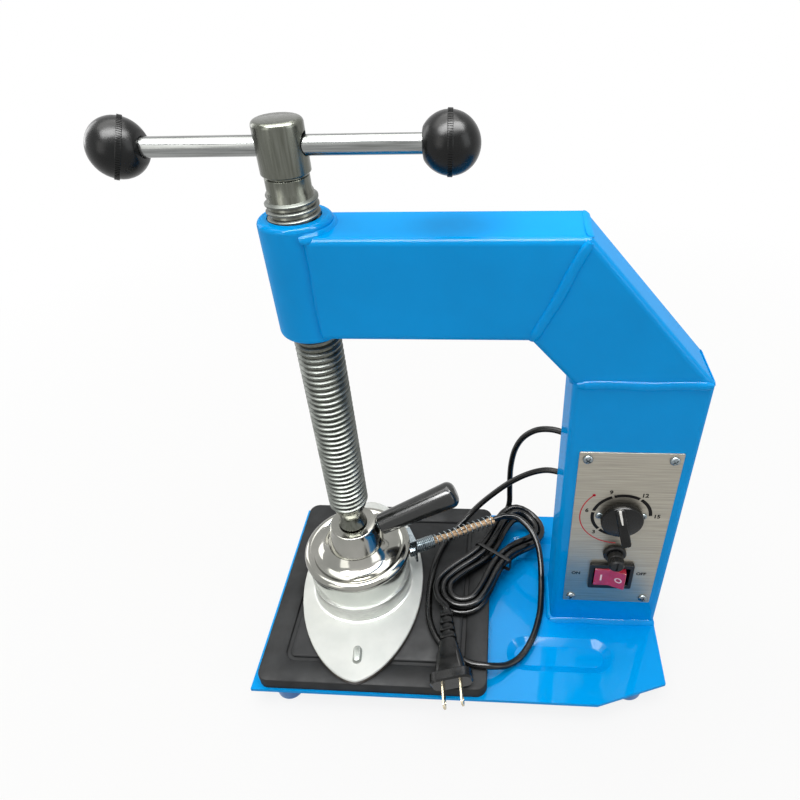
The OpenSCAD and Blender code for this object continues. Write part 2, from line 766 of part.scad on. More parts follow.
module rocker() {
    half = rocker_w / 2;
    outline = [[-half, -rocker_in], [0, -rocker_in + 2], [half, -rocker_in], [half - 1, 1], [3, 6], [-3, 6],
        [1 - half, 1]];
    color([0.85, 0.08, 0.15]) at_origin() at_rocker() translate([0, pivot_y, 0]) {
        rotate(-rocker_tilt) translate([0, 0, -rocker_h / 2]) linear_extrude(rocker_h) polygon(outline);
        cylinder(d = 2.2, h = rocker_h + 2 * control_gap + switch_wall - 0.2, center = true, $fn = small_fn);
    }
}

module fuse_holder() {
    color([0.07, 0.07, 0.08]) at_origin() at_fuse() difference() {
        union() {
            along_y(fuse_collar_d, panel_front - fuse_collar_t, fuse_collar_t);
            along_y(fuse_barrel_d, panel_front - touch, fuse_deep + touch);
        }
        along_y(fuse_bore_d, panel_front - fuse_collar_t - 1, fuse_deep);
    }
}

module fuse_nut() {
    color([0.12, 0.12, 0.13]) at_origin() at_fuse() difference() {
        translate([0, panel_y, 0]) rotate([-90, 0, 0]) cylinder(d = fuse_collar_d, h = 4, $fn = 6);
        along_y(fuse_barrel_d, panel_y - 1, 6);
    }
}

module fuse_cap() {
    face_y = panel_front - fuse_collar_t - control_gap - fuse_cap_l;
    color([0.07, 0.07, 0.08]) at_origin() at_fuse() difference() {
        union() {
            along_y(fuse_barrel_d - 1, face_y, fuse_cap_l);
            along_y(fuse_stem_d, face_y + fuse_cap_l - touch, 9);
        }
        translate([0, face_y, 0]) cube([fuse_barrel_d, 2, 1.4], center = true);
        along_y(glass_d, face_y + fuse_cap_l, big);
    }
}

module fuse() {
    color([0.8, 0.85, 0.85]) at_origin() at_fuse()
        along_y(glass_d, panel_front - fuse_collar_t - control_gap, glass_l);
}

module gland(z) {
    barrel_d = gland_tip_d;
    barrel_y = -tube_wall - gland_in_l;
    profile = [[0, barrel_y], [barrel_d / 2, barrel_y], [barrel_d / 2, 0], [gland_d / 2, 0],
        [gland_d / 2, 3], [barrel_d / 2 + 1, 5], [gland_tip_d / 2 - 0.5, gland_l], [0, gland_l]];
    color([0.08, 0.08, 0.09]) at_origin() translate([gland_x, gland_y, z]) rotate([-90, 0, 0])
        lathe() polygon(profile);
}

module mains_gland() {
    gland(mains_z);
}

module lead_gland() {
    gland(lead_exit_z);
}

terminal_w = 34;
terminal_h = 16;
terminal_deep = 12;
terminal_hole_d = 4;
terminal_hole_deep = 4;
terminal_up = 28;
terminal_z = base_top + terminal_up;

module terminal_block() {
    color([0.85, 0.82, 0.75]) at_origin()
        translate([col_mid - terminal_w / 2, tube_d / 2 - tube_wall - terminal_deep, terminal_z])
            difference() {
                cube([terminal_w, terminal_deep, terminal_h]);
                for (i = [0:3])
                    translate([terminal_w * (i + 0.5) / 4, -1, terminal_h / 2])
                        along_y(terminal_hole_d, 0, terminal_hole_deep + 1);
            }
}

inner_wire_d = 2.4;
wire_y = tube_d / 2 - tube_wall - 4;

wire_pair = 3.4;
wire_spread = 6;
wire_drop = 9;
wire_layer = 5;
wire_stagger = 4;
wire_straight = 2;
wire_into_block = 10;

// Wires from each gland's inner end down to the top of the terminal block: gland height, first hole, depth
module inner_wires() {
    runs = [[mains_z, 0.5, wire_y - wire_layer + 1], [lead_exit_z, 2.5, wire_y - 2 * wire_layer + 1]];
    color([0.7, 0.3, 0.1]) at_origin() for (w = runs, i = [0, 1])
        let (start = [gland_x + (i - 0.5) * wire_pair, gland_y - tube_wall - gland_in_l, w.x],
            end = [col_mid + terminal_w * ((w.y + i) / 4 - 0.5), wire_y, terminal_z + terminal_h],
            below = [start.x + (i - 0.5) * wire_spread, w.z, w.x - wire_drop + wire_stagger * i],
            halfway = [end.x, w.z, (w.x + end.z) / 2 + wire_stagger * i],
            route = smooth_route([start - [0, wire_straight, 0], below, halfway,
                end + [0, 0, wire_into_block], end + [0, 0, wire_straight]], 3))
        swept_tube(concat([start], route, [end]), inner_wire_d / 2, 8);
}

// Screw press

// Trapezoidal thread as rings, each one pitch high
function thread_outline() = let (n = floor((thread_z1 - thread_z0) / pitch))
    [for (i = [0:n - 1], q = [[0, 0.2], [1, 0.38], [1, 0.68], [0, 0.86]])
        [root_r + q.x * thread_deep, thread_z0 + pitch * (i + q.y)]];

module lead_screw() {
    profile = concat([[0, pilot_z0], [pilot_r - 1, pilot_z0], [pilot_r, pilot_z0 + 1]],
        [[pilot_r, groove_z - groove_w / 2], [groove_r, groove_z - groove_w / 2],
         [groove_r, groove_z + groove_w / 2], [pilot_r, groove_z + groove_w / 2]],
        [[pilot_r, cup_top - 1], [neck_d / 2, cup_top + 2], [neck_d / 2, thread_z0 - 1], [root_r, thread_z0]],
        thread_outline(),
        [[root_r, thread_z1 - 1], [collar_d / 2, thread_z1], [collar_d / 2, head_z0 - 1],
         [collar_d / 2 - 0.6, head_z0 - 1], [collar_d / 2 - 0.6, head_z0], [head_d / 2, head_z0 + 0.4],
         [head_d / 2, head_z1 - head_chamfer], [head_d / 2 - head_chamfer, head_z1], [0, head_z1]]);
    color([0.68, 0.7, 0.72]) at_origin() difference() {
        lathe() polygon(profile);
        translate([0, 0, bar_hole_z]) rotate([0, 90, 0])
            cylinder(d = bar_hole_d, h = 2 * head_d, center = true);
    }
}

module thrust_washer() {
    color([0.75, 0.55, 0.25]) at_origin()
        translate([0, 0, washer_z0]) cylinder(d = pilot_d, h = washer_t);
}

module bar_rod() {
    rod_l = ball_span + 4;
    color([0.8, 0.82, 0.84]) at_origin() translate([-rod_l / 2, 0, bar_z]) rotate([0, 90, 0])
        cylinder(d = bar_d, h = rod_l);
}

module ball_knobs() {
    color([0.08, 0.08, 0.09]) at_origin() for (s = [-1, 1])
        translate([s * ball_span / 2, 0, bar_z]) difference() {
            sphere(d = ball_d);
            translate([-s * (ball_d - ball_flat), 0, 0]) cube(ball_d, center = true);
            translate([s > 0 ? -ball_d : -2, 0, 0]) rotate([0, 90, 0]) cylinder(d = bar_d, h = ball_d + 2);
        }
}

// Heater head

module pivot_cup() {
    foot_r = cup_foot_d / 2;
    profile = [[0, clamp_z1], [post_d / 2, clamp_z1], [post_d / 2, cap_top], [foot_r, cap_top],
        [cup_top_d / 2, cup_top - 1], [cup_top_d / 2 - 1, cup_top],
        [socket_r, cup_top], [socket_r, washer_z0], [0, washer_z0]];
    color([0.8, 0.78, 0.76]) at_origin() difference() {
        lathe() polygon(profile);
        aimed(grub_turn, groove_z) rotate([0, 90, 0]) cylinder(d = grub_d, h = foot_r + 5, $fn = small_fn);
        aimed(grip_turn, grip_z) rotate([0, 90 - grip_tilt, 0]) translate([0, 0, grip_r0 - stem_in])
            cylinder(d = stem_d, h = 2 * stem_in, $fn = small_fn);
        translate([0, 0, washer_z0]) cylinder(r = socket_r, h = pilot_l + washer_t);
    }
}

module grub_screw() {
    grub_l = 4.5;
    color([0.3, 0.3, 0.32]) at_origin() aimed(grub_turn, groove_z) rotate([0, 90, 0]) {
        translate([0, 0, socket_r + 0.6]) cylinder(d = grub_d, h = grub_l, $fn = small_fn);
        translate([0, 0, groove_r + 0.3]) cylinder(d = grub_tip_d, h = grub_l, $fn = small_fn);
    }
}

module chrome_cap() {
    foot_r = cup_foot_d / 2;
    hole_r = post_d / 2;
    thick_r = skirt_r - rim_round;
    profile = concat([[rim_r, rim_z0]],
        arc(rim_r - rim_round, rim_z1 - rim_round, rim_round, 0, 90, 8),
        [[foot_r, cap_top], [hole_r, cap_top], [hole_r, cap_top - cap_wall], [foot_r, cap_top - cap_wall],
         [thick_r, rim_z1 - cap_wall], [thick_r, skirt_z1], [skirt_r, skirt_z1], [skirt_r, rim_z0]]);
    color([0.85, 0.86, 0.88]) at_origin() lathe() polygon(profile);
}

module skirt() {
    color([0.85, 0.86, 0.88]) at_origin() difference() {
        translate([0, 0, collar_z1]) cylinder(r = skirt_r, h = skirt_h);
        translate([0, 0, collar_z1 - 1]) cylinder(r = skirt_r - skirt_wall, h = skirt_h + 2);
        aimed(lead_turn, lead_z) rotate([0, 90, 0]) cylinder(d = nipple_shank_d, h = rim_r, $fn = small_fn);
    }
}

function leaf_point(a) = [leaf_w * cos(a) * pow(abs(cos(a)), 0.25), leaf_l * sin(a)];

module heating_plate() {
    lug_w = 5.5;
    lug_l = 7;
    lug_h = 3.5;
    lug_from_tip = 20;
    color([0.82, 0.83, 0.82]) at_origin() rotate(leaf_turn) difference() {
        union() {
            translate([0, 0, leaf_z0]) linear_extrude(leaf_t) polygon([for (i = [0:71]) leaf_point(i * 5)]);
            translate([0, 0, leaf_z1 - touch]) cylinder(r = skirt_r, h = collar_h + touch);
            translate([0, lug_from_tip - leaf_l, leaf_z1 - touch]) linear_extrude(lug_h) {
                square([lug_w, lug_l], center = true);
                for (s = [-1, 1]) translate([0, s * lug_l / 2]) circle(d = lug_w, $fn = small_fn);
            }
        }
        translate([0, 0, leaf_z1]) cylinder(r = cavity_r, h = collar_h + 1);
        rotate(-leaf_turn) clamp_screw_places() translate([0, 0, leaf_z0 + 1])
            cylinder(d = clamp_screw_d, h = leaf_t, $fn = small_fn);
        rotate(lead_turn - leaf_turn) translate([0, 0, lead_z]) rotate([0, 90, 0])
            cylinder(d = nipple_shank_d, h = rim_r, $fn = small_fn);
    }
}

module clamp_screw_places() {
    for (i = [0:2]) rotate(lead_turn + 60 + 120 * i) translate([clamp_screw_r, 0, 0]) children();
}

module clamp_holes() {
    clamp_screw_places() cylinder(d = clamp_screw_d, h = big, $fn = small_fn);
}

module mica_sheets() {
    color([0.78, 0.7, 0.5]) at_origin() difference() {
        for (z = [leaf_z1, leaf_z1 + mica_t + element_t])
            translate([0, 0, z]) cylinder(r = clamp_r, h = mica_t);
        clamp_holes();
    }
}

module heating_element() {
    color([0.5, 0.48, 0.45]) at_origin() difference() {
        translate([0, 0, leaf_z1 + mica_t]) cylinder(r = clamp_r, h = element_t);
        clamp_holes();
    }
}

module clamp_plate() {
    color([0.6, 0.62, 0.64]) at_origin() difference() {
        translate([0, 0, clamp_z0]) cylinder(r = clamp_r, h = clamp_t);
        clamp_holes();
    }
}

module clamp_screws() {
    color([0.6, 0.62, 0.64]) at_origin() clamp_screw_places() {
        translate([0, 0, leaf_z0 + 1]) cylinder(d = clamp_screw_d, h = clamp_z1 - leaf_z0, $fn = small_fn);
        translate([0, 0, clamp_z1]) cylinder(d = 1.7 * clamp_screw_d, h = 4, $fn = 6);
    }
}

module thermostat() {
    color([0.3, 0.25, 0.2]) at_origin() rotate(lead_turn) translate([clamp_screw_r + 2, 0, clamp_z1])
        cylinder(d = thermostat_d, h = thermostat_h, $fn = small_fn);
}

module grip_axis() {
    aimed(grip_turn, grip_z) rotate([0, 90 - grip_tilt, 0]) children();
}

module grip_stem() {
    color([0.7, 0.72, 0.74]) at_origin() grip_axis() translate([0, 0, grip_r0 - stem_in])
        cylinder(d = stem_d, h = stem_l, $fn = small_fn);
}

module grip() {
    near_r = grip_near_d / 2;
    far_r = grip_far_d / 2;
    end_round = far_r * 0.6;
    stem_r = stem_d / 2;
    profile = concat([[stem_r, 0], [near_r, 0]],
        arc(far_r - end_round, grip_l - end_round, end_round, 0, 90, 8),
        [[0, grip_l], [0, stem_l - stem_in], [stem_r, stem_l - stem_in]]);
    color([0.07, 0.07, 0.08]) at_origin() grip_axis() translate([0, 0, grip_r0]) lathe() polygon(profile);
}

module lead_bracket() {
    down = lead_z - collar_z1 + nipple_d / 2;
    up = rim_z0 - 2 - lead_z;
    color([0.6, 0.61, 0.62]) at_origin() aimed(lead_turn, lead_z) difference() {
        union() {
            translate([bracket_r, -bracket_w / 2, -down]) cube([bracket_t, bracket_w, down + up]);
            translate([skirt_r - 2, -bracket_w / 2, up - bracket_t])
                cube([bracket_r - skirt_r + 2 + touch, bracket_w, bracket_t]);
        }
        rotate([0, 90, 0]) cylinder(d = nipple_shank_d, h = rim_d, $fn = small_fn);
        translate([0, 0, -lead_z]) cylinder(r = skirt_r, h = big);
    }
}

module lead_nipple() {
    shank_in = skirt_r - 3;
    color([0.65, 0.67, 0.66]) at_origin() aimed(lead_turn, lead_z) rotate([0, 90, 0]) difference() {
        union() {
            translate([0, 0, nipple_x0]) cylinder(d = nipple_d, h = nipple_l, $fn = small_fn);
            translate([0, 0, shank_in])
                cylinder(d = nipple_shank_d, h = nipple_x0 - shank_in + touch, $fn = small_fn);
        }
        for (s = [-1, 1]) translate([0, s * wire_d * 0.52, shank_in - 1])
            cylinder(d = wire_d, h = big, $fn = small_fn);
    }
}

module nipple_nut() {
    color([0.65, 0.67, 0.66]) at_origin() aimed(lead_turn, lead_z) rotate([0, 90, 0]) difference() {
        translate([0, 0, bracket_r - 3.5]) cylinder(d = 13, h = 3.5, $fn = 6);
        cylinder(d = nipple_shank_d, h = rim_d, $fn = small_fn);
    }
}

spring_rings = 8;
spring_sides = 6;
// Helix along +X with a straight end of one wire diameter at each end
spring_points = concat([[nipple_x1, spring_r, 0], [nipple_x1 + spring_wire, spring_r, 0]],
    [for (i = [1:spring_turns * spring_rings]) let (a = 360 * i / spring_rings)
        [nipple_x1 + spring_wire + spring_pitch * i / spring_rings, spring_r * cos(a), spring_r * sin(a)]],
    [[spring_x1, spring_r, 0]]);
echo(spring_least_gap = self_gap(spring_points, spring_wire, spring_rings - 1));

module lead_spring() {
    color([0.75, 0.76, 0.75]) at_origin() aimed(lead_turn, lead_z)
        swept_tube(spring_points, spring_wire / 2, spring_sides);
}

module lead_wires() {
    wire_x0 = skirt_r - 8;
    color([0.85, 0.72, 0.55]) at_origin() aimed(lead_turn, lead_z) for (s = [-1, 1])
        translate([wire_x0, s * wire_d * 0.52, 0]) rotate([0, 90, 0])
            cylinder(d = wire_d, h = spring_x1 - wire_x0, $fn = small_fn);
}

// Cords

module mains_cord() {
    color([0.06, 0.06, 0.07]) at_origin() swept_tube(smooth_route(mains_route, 2), cord_d / 2, 8);
}

module mains_hank() {
    color([0.06, 0.06, 0.07]) at_origin() swept_tube(hank_points, cord_d / 2, 6);
}

module hank_tie() {
    half_w = hank_waist + layer_loops * waist_step + cord_d / 2;
    tall = cord_d + layer_step + 0.4;
    color([0.1, 0.1, 0.11]) at_origin() translate([hank_mid.x, hank_mid.y, hank_z + layer_step / 2])
        rotate([90, 0, hank_turn + 90]) linear_extrude(tie_w, center = true) difference() {
            rounded_rect(2 * half_w + 2 * tie_t, tall + 2 * tie_t, cord_d / 2);
            rounded_rect(2 * half_w, tall, cord_d / 2 - tie_t);
        }
}

plug_l = norm(plug_face - plug_neck);
plug_relief_l = 24;
flange_t = 8;
flange_w = 30;
flange_h = 16;
blade_gap = 12.7;
plug_roll = 12;
plug_neck_w = 13;
plug_neck_h = 11;
plug_back_w = 22;
plug_back_h = 13;

// Plug axis along +X from the neck to the face
module at_plug() {
    translate(plug_neck) rotate([0, asin(-plug_dir.z), atan2(plug_dir.y, plug_dir.x)])
        rotate([plug_roll, 0, 0]) children();
}

module plug_slab(x, w, h, t) {
    translate([x, 0, 0]) rotate([90, 0, 90]) linear_extrude(t) rounded_rect(w, h, h * 0.4);
}

module plug_body() {
    color([0.06, 0.06, 0.07]) at_origin() at_plug() {
        for (i = [0:2])
            translate([1 + plug_relief_l / 3 * i, 0, 0]) rotate([0, 90, 0])
                cylinder(d = 9 + i, h = plug_relief_l / 3 - 2, $fn = small_fn);
        rotate([0, 90, 0]) cylinder(d = 7.5, h = plug_relief_l + 1, $fn = small_fn);
        hull() {
            plug_slab(plug_relief_l, plug_neck_w, plug_neck_h, 1);
            plug_slab(plug_l - flange_t - 1, plug_back_w, plug_back_h, 1);
        }
        plug_slab(plug_l - flange_t - touch, flange_w, flange_h, flange_t + touch);
    }
}

module plug_blades() {
    color([0.8, 0.8, 0.78]) at_origin() at_plug() for (s = [-1, 1])
        translate([plug_l, s * blade_gap / 2 - 0.75, -3.2]) cube([16, 1.5, 6.4]);
}

module heater_cord() {
    color([0.06, 0.06, 0.07]) at_origin() swept_tube(smooth_route(lead_route, 2), cord_d / 2, 8);
}

base_plate();
feet();
rubber_pad();
column();
elbow();
arm();
nut_boss();
weld_beads();
control_panel();
panel_screws();
timer_body();
timer_screws();
timer_shaft();
timer_knob();
switch_housing();
rocker();
fuse_holder();
fuse_nut();
fuse_cap();
fuse();
mains_gland();
lead_gland();
terminal_block();
inner_wires();
lead_screw();
thrust_washer();
bar_rod();
ball_knobs();
pivot_cup();
grub_screw();
chrome_cap();
skirt();
heating_plate();
mica_sheets();
heating_element();
clamp_plate();
clamp_screws();
thermostat();
grip_stem();
grip();
lead_bracket();
lead_nipple();
nipple_nut();
lead_spring();
lead_wires();
mains_cord();
mains_hank();
hank_tie();
plug_body();
plug_blades();
heater_cord();
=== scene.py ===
import math
import random

import bmesh
import bpy
from mathutils import Matrix, Vector


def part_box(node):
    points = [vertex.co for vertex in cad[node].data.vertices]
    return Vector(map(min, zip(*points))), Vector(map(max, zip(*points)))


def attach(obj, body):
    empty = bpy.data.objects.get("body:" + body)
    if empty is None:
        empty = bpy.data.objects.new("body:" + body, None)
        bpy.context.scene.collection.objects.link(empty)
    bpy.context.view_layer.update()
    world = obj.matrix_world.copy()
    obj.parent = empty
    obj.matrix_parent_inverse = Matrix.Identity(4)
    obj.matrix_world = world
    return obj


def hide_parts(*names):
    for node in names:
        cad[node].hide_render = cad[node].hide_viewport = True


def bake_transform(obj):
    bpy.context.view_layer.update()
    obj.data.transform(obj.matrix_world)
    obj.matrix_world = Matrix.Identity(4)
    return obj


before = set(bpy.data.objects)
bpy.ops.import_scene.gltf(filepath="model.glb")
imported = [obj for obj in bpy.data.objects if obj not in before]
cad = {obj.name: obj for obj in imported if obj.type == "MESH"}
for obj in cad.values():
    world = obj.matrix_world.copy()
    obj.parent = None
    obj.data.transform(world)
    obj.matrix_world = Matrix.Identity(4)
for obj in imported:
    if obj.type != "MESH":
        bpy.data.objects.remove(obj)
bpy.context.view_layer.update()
print("frame loaded:", len(cad), "CAD nodes")

mm = 0.001
screwX = sum(corner.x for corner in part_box("nut_boss")) / 2  # pieces are drawn in mm from the screw's axis
bpy.context.scene.view_settings.view_transform = "Standard"


def place(p):
    return Vector((screwX + p[0] * mm, p[1] * mm, p[2] * mm))


def boxMm(node):
    shift = Vector((screwX, 0, 0))
    return [(corner - shift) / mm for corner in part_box(node)]


# Solids are (points, faces) in mm

def joined(*solids):
    points, faces = [], []
    for solidPoints, solidFaces in solids:
        start = len(points)
        points += [Vector(p) for p in solidPoints]
        faces += [tuple(i + start for i in f) for f in solidFaces]
    return points, faces


def moved(solid, matrix):
    return [matrix @ Vector(p) for p in solid[0]], solid[1]


def shifted(solid, x=0, y=0, z=0):
    return moved(solid, Matrix.Translation((x, y, z)))


def aimed(solid, origin, direction, roll=0):
    # Local +Z goes along direction
    turn = Vector(direction).to_track_quat("Z", "Y").to_matrix().to_4x4()
    return moved(solid, Matrix.Translation(origin) @ turn @ Matrix.Rotation(roll, 4, "Z"))


def arc(cx, cy, r, a0, a1, steps):
    angles = [math.radians(a0 + (a1 - a0) * i / steps) for i in range(steps + 1)]
    return [(cx + r * math.cos(a), cy + r * math.sin(a)) for a in angles]


def circle(r, sides=16):
    return [(r * math.cos(2 * math.pi * i / sides), r * math.sin(2 * math.pi * i / sides))
            for i in range(sides)]


def roundedRect(w, h, r, steps=6):
    x, y = w / 2 - r, h / 2 - r
    return (arc(x, y, r, 0, 90, steps) + arc(-x, y, r, 90, 180, steps)
            + arc(-x, -y, r, 180, 270, steps) + arc(x, -y, r, 270, 360, steps))


def turned(profile, steps=96, ring=False):
    # Profile of (radius, height) about +Z; a ring's profile closes on itself
    points, faces, rows = [], [], []
    for r, z in profile:
        if r < 1e-6:
            rows.append([len(points)] * steps)
            points.append(Vector((0, 0, z)))
        else:
            rows.append(list(range(len(points), len(points) + steps)))
            points += [Vector((x, y, z)) for x, y in circle(r, steps)]
    if ring:
        rows.append(rows[0])
    for low, high in zip(rows, rows[1:]):
        for i in range(steps):
            j = (i + 1) % steps
            corners = [low[i], low[j], high[j], high[i]]
            faces.append(tuple(dict.fromkeys(corners)))
    if not ring:
        faces += [tuple(row) for row in (rows[0], rows[-1]) if len(set(row)) > 1]
    return points, faces


def extruded(outline, z0, z1):
    n = len(outline)
    points = [Vector((x, y, z)) for z in (z0, z1) for x, y in outline]
    faces = [tuple(range(n)), tuple(range(n, 2 * n))]
    faces += [(i, (i + 1) % n, n + (i + 1) % n, n + i) for i in range(n)]
    return points, faces


def facing(solid, y):
    # Drawn in the panel's plane, x right and y up, with its thickness towards the front
    return [Vector((p.x, y - p.z, p.y)) for p in solid[0]], solid[1]


def lofted(sections):
    n = len(sections[0])
    points = [Vector(p) for section in sections for p in section]
    faces = [(i * n + s, i * n + (s + 1) % n, (i + 1) * n + (s + 1) % n, (i + 1) * n + s)
             for i in range(len(sections) - 1) for s in range(n)]
    last = (len(sections) - 1) * n
    faces += [tuple(range(n)), tuple(range(last, last + n))]
    return points, faces


def swept(path, section):
    # Section points (across, up) carried along the path without twist
    path = [Vector(p) for p in path]
    last = len(path) - 1
    sections, side = [], None
    for i, p in enumerate(path):
        along = (path[min(i + 1, last)] - path[max(i - 1, 0)]).normalized()
        if side is None:
            side = along.orthogonal() if abs(along.z) > 0.9 else Vector((0, 0, 1)).cross(along)
            side.normalize()
        side = (side - side.dot(along) * along).normalized()
        up = along.cross(side)
        sections.append([p + side * a + up * b for a, b in section])
    return lofted(sections)


def bendThrough(a, b, c, d, t):
    a, b, c, d = (Vector(p) for p in (a, b, c, d))
    return 0.5 * (2 * b + (c - a) * t + (2 * a - 5 * b + 4 * c - d) * t * t
                  + (3 * b - a - 3 * c + d) * t ** 3)


def smoothRoute(points, steps):
    last = len(points) - 1
    return [bendThrough(points[max(i - 1, 0)], points[i], points[i + 1], points[min(i + 2, last)], s / steps)
            for i in range(last) for s in range(steps)] + [Vector(points[last])]


def routeLength(points):
    return sum((b - a).length for a, b in zip(points, points[1:]))


def addPiece(name, solid, material, body, nodes=(), sharp=35, bevel=0, bevelSteps=2):
    mesh = bpy.data.meshes.new(name)
    mesh.from_pydata([place(p) for p in solid[0]], [], solid[1])
    tidyNormals(mesh, sharp)
    piece = bpy.data.objects.new(name, mesh)
    bpy.context.scene.collection.objects.link(piece)
    mesh.materials.append(material)
    if bevel:
        addBevel(piece, bevel, bevelSteps)
    if body:
        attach(piece, body)
    if nodes:
        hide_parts(*nodes)
    return piece


def tidyNormals(mesh, sharp):
    work = bmesh.new()
    work.from_mesh(mesh)
    bmesh.ops.recalc_face_normals(work, faces=work.faces)
    work.to_mesh(mesh)
    work.free()
    mesh.polygons.foreach_set("use_smooth", [True] * len(mesh.polygons))
    mesh.set_sharp_from_angle(angle=math.radians(sharp))


def addBevel(piece, width, steps=2, angle=30):
    bevel = piece.modifiers.new("edge", "BEVEL")
    bevel.width = width * mm
    bevel.segments = steps
    bevel.limit_method = "ANGLE"
    bevel.angle_limit = math.radians(angle)
    bevel.harden_normals = True


def cutFrom(piece, solid):
    # Boolean cut that is applied at once, so that no cutter is left in the scene
    mesh = bpy.data.meshes.new("cutter")
    mesh.from_pydata([place(p) for p in solid[0]], [], solid[1])
    tidyNormals(mesh, 35)
    cutter = bpy.data.objects.new("cutter", mesh)
    bpy.context.scene.collection.objects.link(cutter)
    cut = piece.modifiers.new("cut", "BOOLEAN")
    cut.object = cutter
    cut.operation = "DIFFERENCE"
    cut.solver = "EXACT"
    bpy.context.view_layer.update()
    made = bpy.data.meshes.new_from_object(piece.evaluated_get(bpy.context.evaluated_depsgraph_get()))
    piece.modifiers.remove(cut)
    piece.data = made
    bpy.data.objects.remove(cutter)
    tidyNormals(made, 35)


# Camera at the photograph's viewing angle

cameraView = {
    "eye": (109.22, -320.13, 464.33),  # mm from the screw's axis at floor level
    "yaw": -0.0893,
    "pitch": 0.6594,
    "roll": -0.0403,
    "focal": 643.76,  # in pixels of the square picture
    "middle": (455.66, 404.45),
    "picture": 800,
    "sensor": 36,
}


def addCamera(view):
    yaw, pitch, roll = view["yaw"], view["pitch"], view["roll"]
    ahead = Vector((math.sin(yaw) * math.cos(pitch), math.cos(yaw) * math.cos(pitch), -math.sin(pitch)))
    right = Vector((math.cos(yaw), -math.sin(yaw), 0))
    up = right.cross(ahead)
    right, up = (math.cos(roll) * right + math.sin(roll) * up, math.cos(roll) * up - math.sin(roll) * right)
    data = bpy.data.cameras.new("camera")
    data.sensor_width = view["sensor"]
    data.lens = view["focal"] / view["picture"] * view["sensor"]
    data.shift_x = 0.5 - view["middle"][0] / view["picture"]
    data.shift_y = view["middle"][1] / view["picture"] - 0.5
    data.clip_start = 0.01
    camera = bpy.data.objects.new("camera", data)
    turn = Matrix((right, up, -ahead)).transposed().to_4x4()
    camera.matrix_world = Matrix.Translation(place(view["eye"])) @ turn
    bpy.context.scene.collection.objects.link(camera)
    bpy.context.scene.camera = camera


addCamera(cameraView)
print("camera set")

# Materials


def hexColour(code):
    parts = [int(code[i:i + 2], 16) / 255 for i in (1, 3, 5)]
    return [c / 12.92 if c <= 0.04045 else ((c + 0.055) / 1.055) ** 2.4 for c in parts] + [1]


def addNode(material, kind, settings=(), links=()):
    node = material.node_tree.nodes.new(kind)
    for key, value in dict(settings).items():
        if key in node.inputs:
            node.inputs[key].default_value = value
        else:
            setattr(node, key, value)
    for key, source in dict(links).items():
        material.node_tree.links.new(source, node.inputs[key])
    return node


noiseSpread = (0.3, 0.7)  # most of a noise's values lie between these


def makeFinish(name, look):
    # Colour drifts between two tones, roughness between two limits, and a grain lifts the surface
    material = bpy.data.materials.new(name)
    material.use_nodes = True
    shader = material.node_tree.nodes["Principled BSDF"]
    for key, value in look.get("shader", {}).items():
        shader.inputs[key].default_value = hexColour(value) if isinstance(value, str) else value
    spot = addNode(material, "ShaderNodeTexCoord").outputs["Object"]
    stretch = [1 / s for s in look.get("stretch", (1, 1, 1))]
    spot = addNode(material, "ShaderNodeMapping", {"Scale": stretch}, {"Vector": spot}).outputs["Vector"]
    sizes = {"tone": look["toneMm"], "rough": look["rough"][2]}
    if "grain" in look:
        sizes["grain"] = look["grain"][0]
    drift = {part: addNode(material, "ShaderNodeTexNoise", {"Scale": 1 / (sizeMm * mm), "Detail": 3},
                           {"Vector": spot}).outputs["Fac"] for part, sizeMm in sizes.items()}
    tone = addNode(material, "ShaderNodeValToRGB", {}, {"Fac": drift["tone"]})
    for element, position, colour in zip(tone.color_ramp.elements, noiseSpread, look["tones"]):
        element.position = position
        element.color = hexColour(colour)
    material.node_tree.links.new(tone.outputs["Color"], shader.inputs["Base Color"])
    haze = addNode(material, "ShaderNodeMapRange", {"From Min": noiseSpread[0], "From Max": noiseSpread[1],
                                                    "To Min": look["rough"][0], "To Max": look["rough"][1]},
                   {"Value": drift["rough"]})
    material.node_tree.links.new(haze.outputs["Result"], shader.inputs["Roughness"])
    if "grain" in look:
        depthMm, strength = look["grain"][1:]
        lift = addNode(material, "ShaderNodeBump", {"Strength": strength, "Distance": depthMm * mm},
                       {"Height": drift["grain"]})
        material.node_tree.links.new(lift.outputs["Normal"], shader.inputs["Normal"])
    return material


# Sprayed gloss enamel on steel: clear highlights with the faint ripple of sprayed paint
enamel = makeFinish("sprayedBlueEnamel", {
    "shader": {"Specular IOR Level": 0.0, "Coat Weight": 0.2, "Coat Roughness": 0.04},
    "tones": ("#008FD8", "#0098E4"),
    "toneMm": 60, "rough": (0.2, 0.3, 25), "grain": (3.2, 0.35, 0.12)})

# The same enamel on the feet, darker as painted shade under the base plate, and rougher
footEnamelPaintedShade = makeFinish("blueEnamelPaintedShade", {
    "tones": ("#0F5FA0", "#1A72B8"), "toneMm": 9, "rough": (0.3, 0.45, 5), "grain": (1.5, 0.4, 0.3)})

# Moulded black rubber with bloom: soft wide highlights, greyer where it is dusty
padRubber = makeFinish("mouldedRubber", {
    "shader": {"IOR": 1.52, "Specular IOR Level": 0.2}, "tones": ("#121314", "#212324"), "toneMm": 14,
    "rough": (0.5, 0.78, 22), "grain": (0.8, 0.25, 0.35)})

# Sheet steel brushed along its width: streaks 0.55 mm apart, coarser than the real grain so that they show
brushedSheet = makeFinish("brushedSheetSteel", {
    "shader": {"Metallic": 0.85, "Anisotropic": 0.5}, "tones": ("#938F85", "#AFAA9D"), "toneMm": 0.55,
    "rough": (0.32, 0.48, 0.9), "stretch": (60, 1, 1)})

# Turned steel with bright zinc: metal with fine tool marks and hazy patches
zincSteel = makeFinish("zincPlatedSteel", {
    "shader": {"Metallic": 1.0}, "tones": ("#666F74", "#8D969A"), "toneMm": 5, "rough": (0.2, 0.36, 3),
    "grain": (0.5, 0.06, 0.15)})

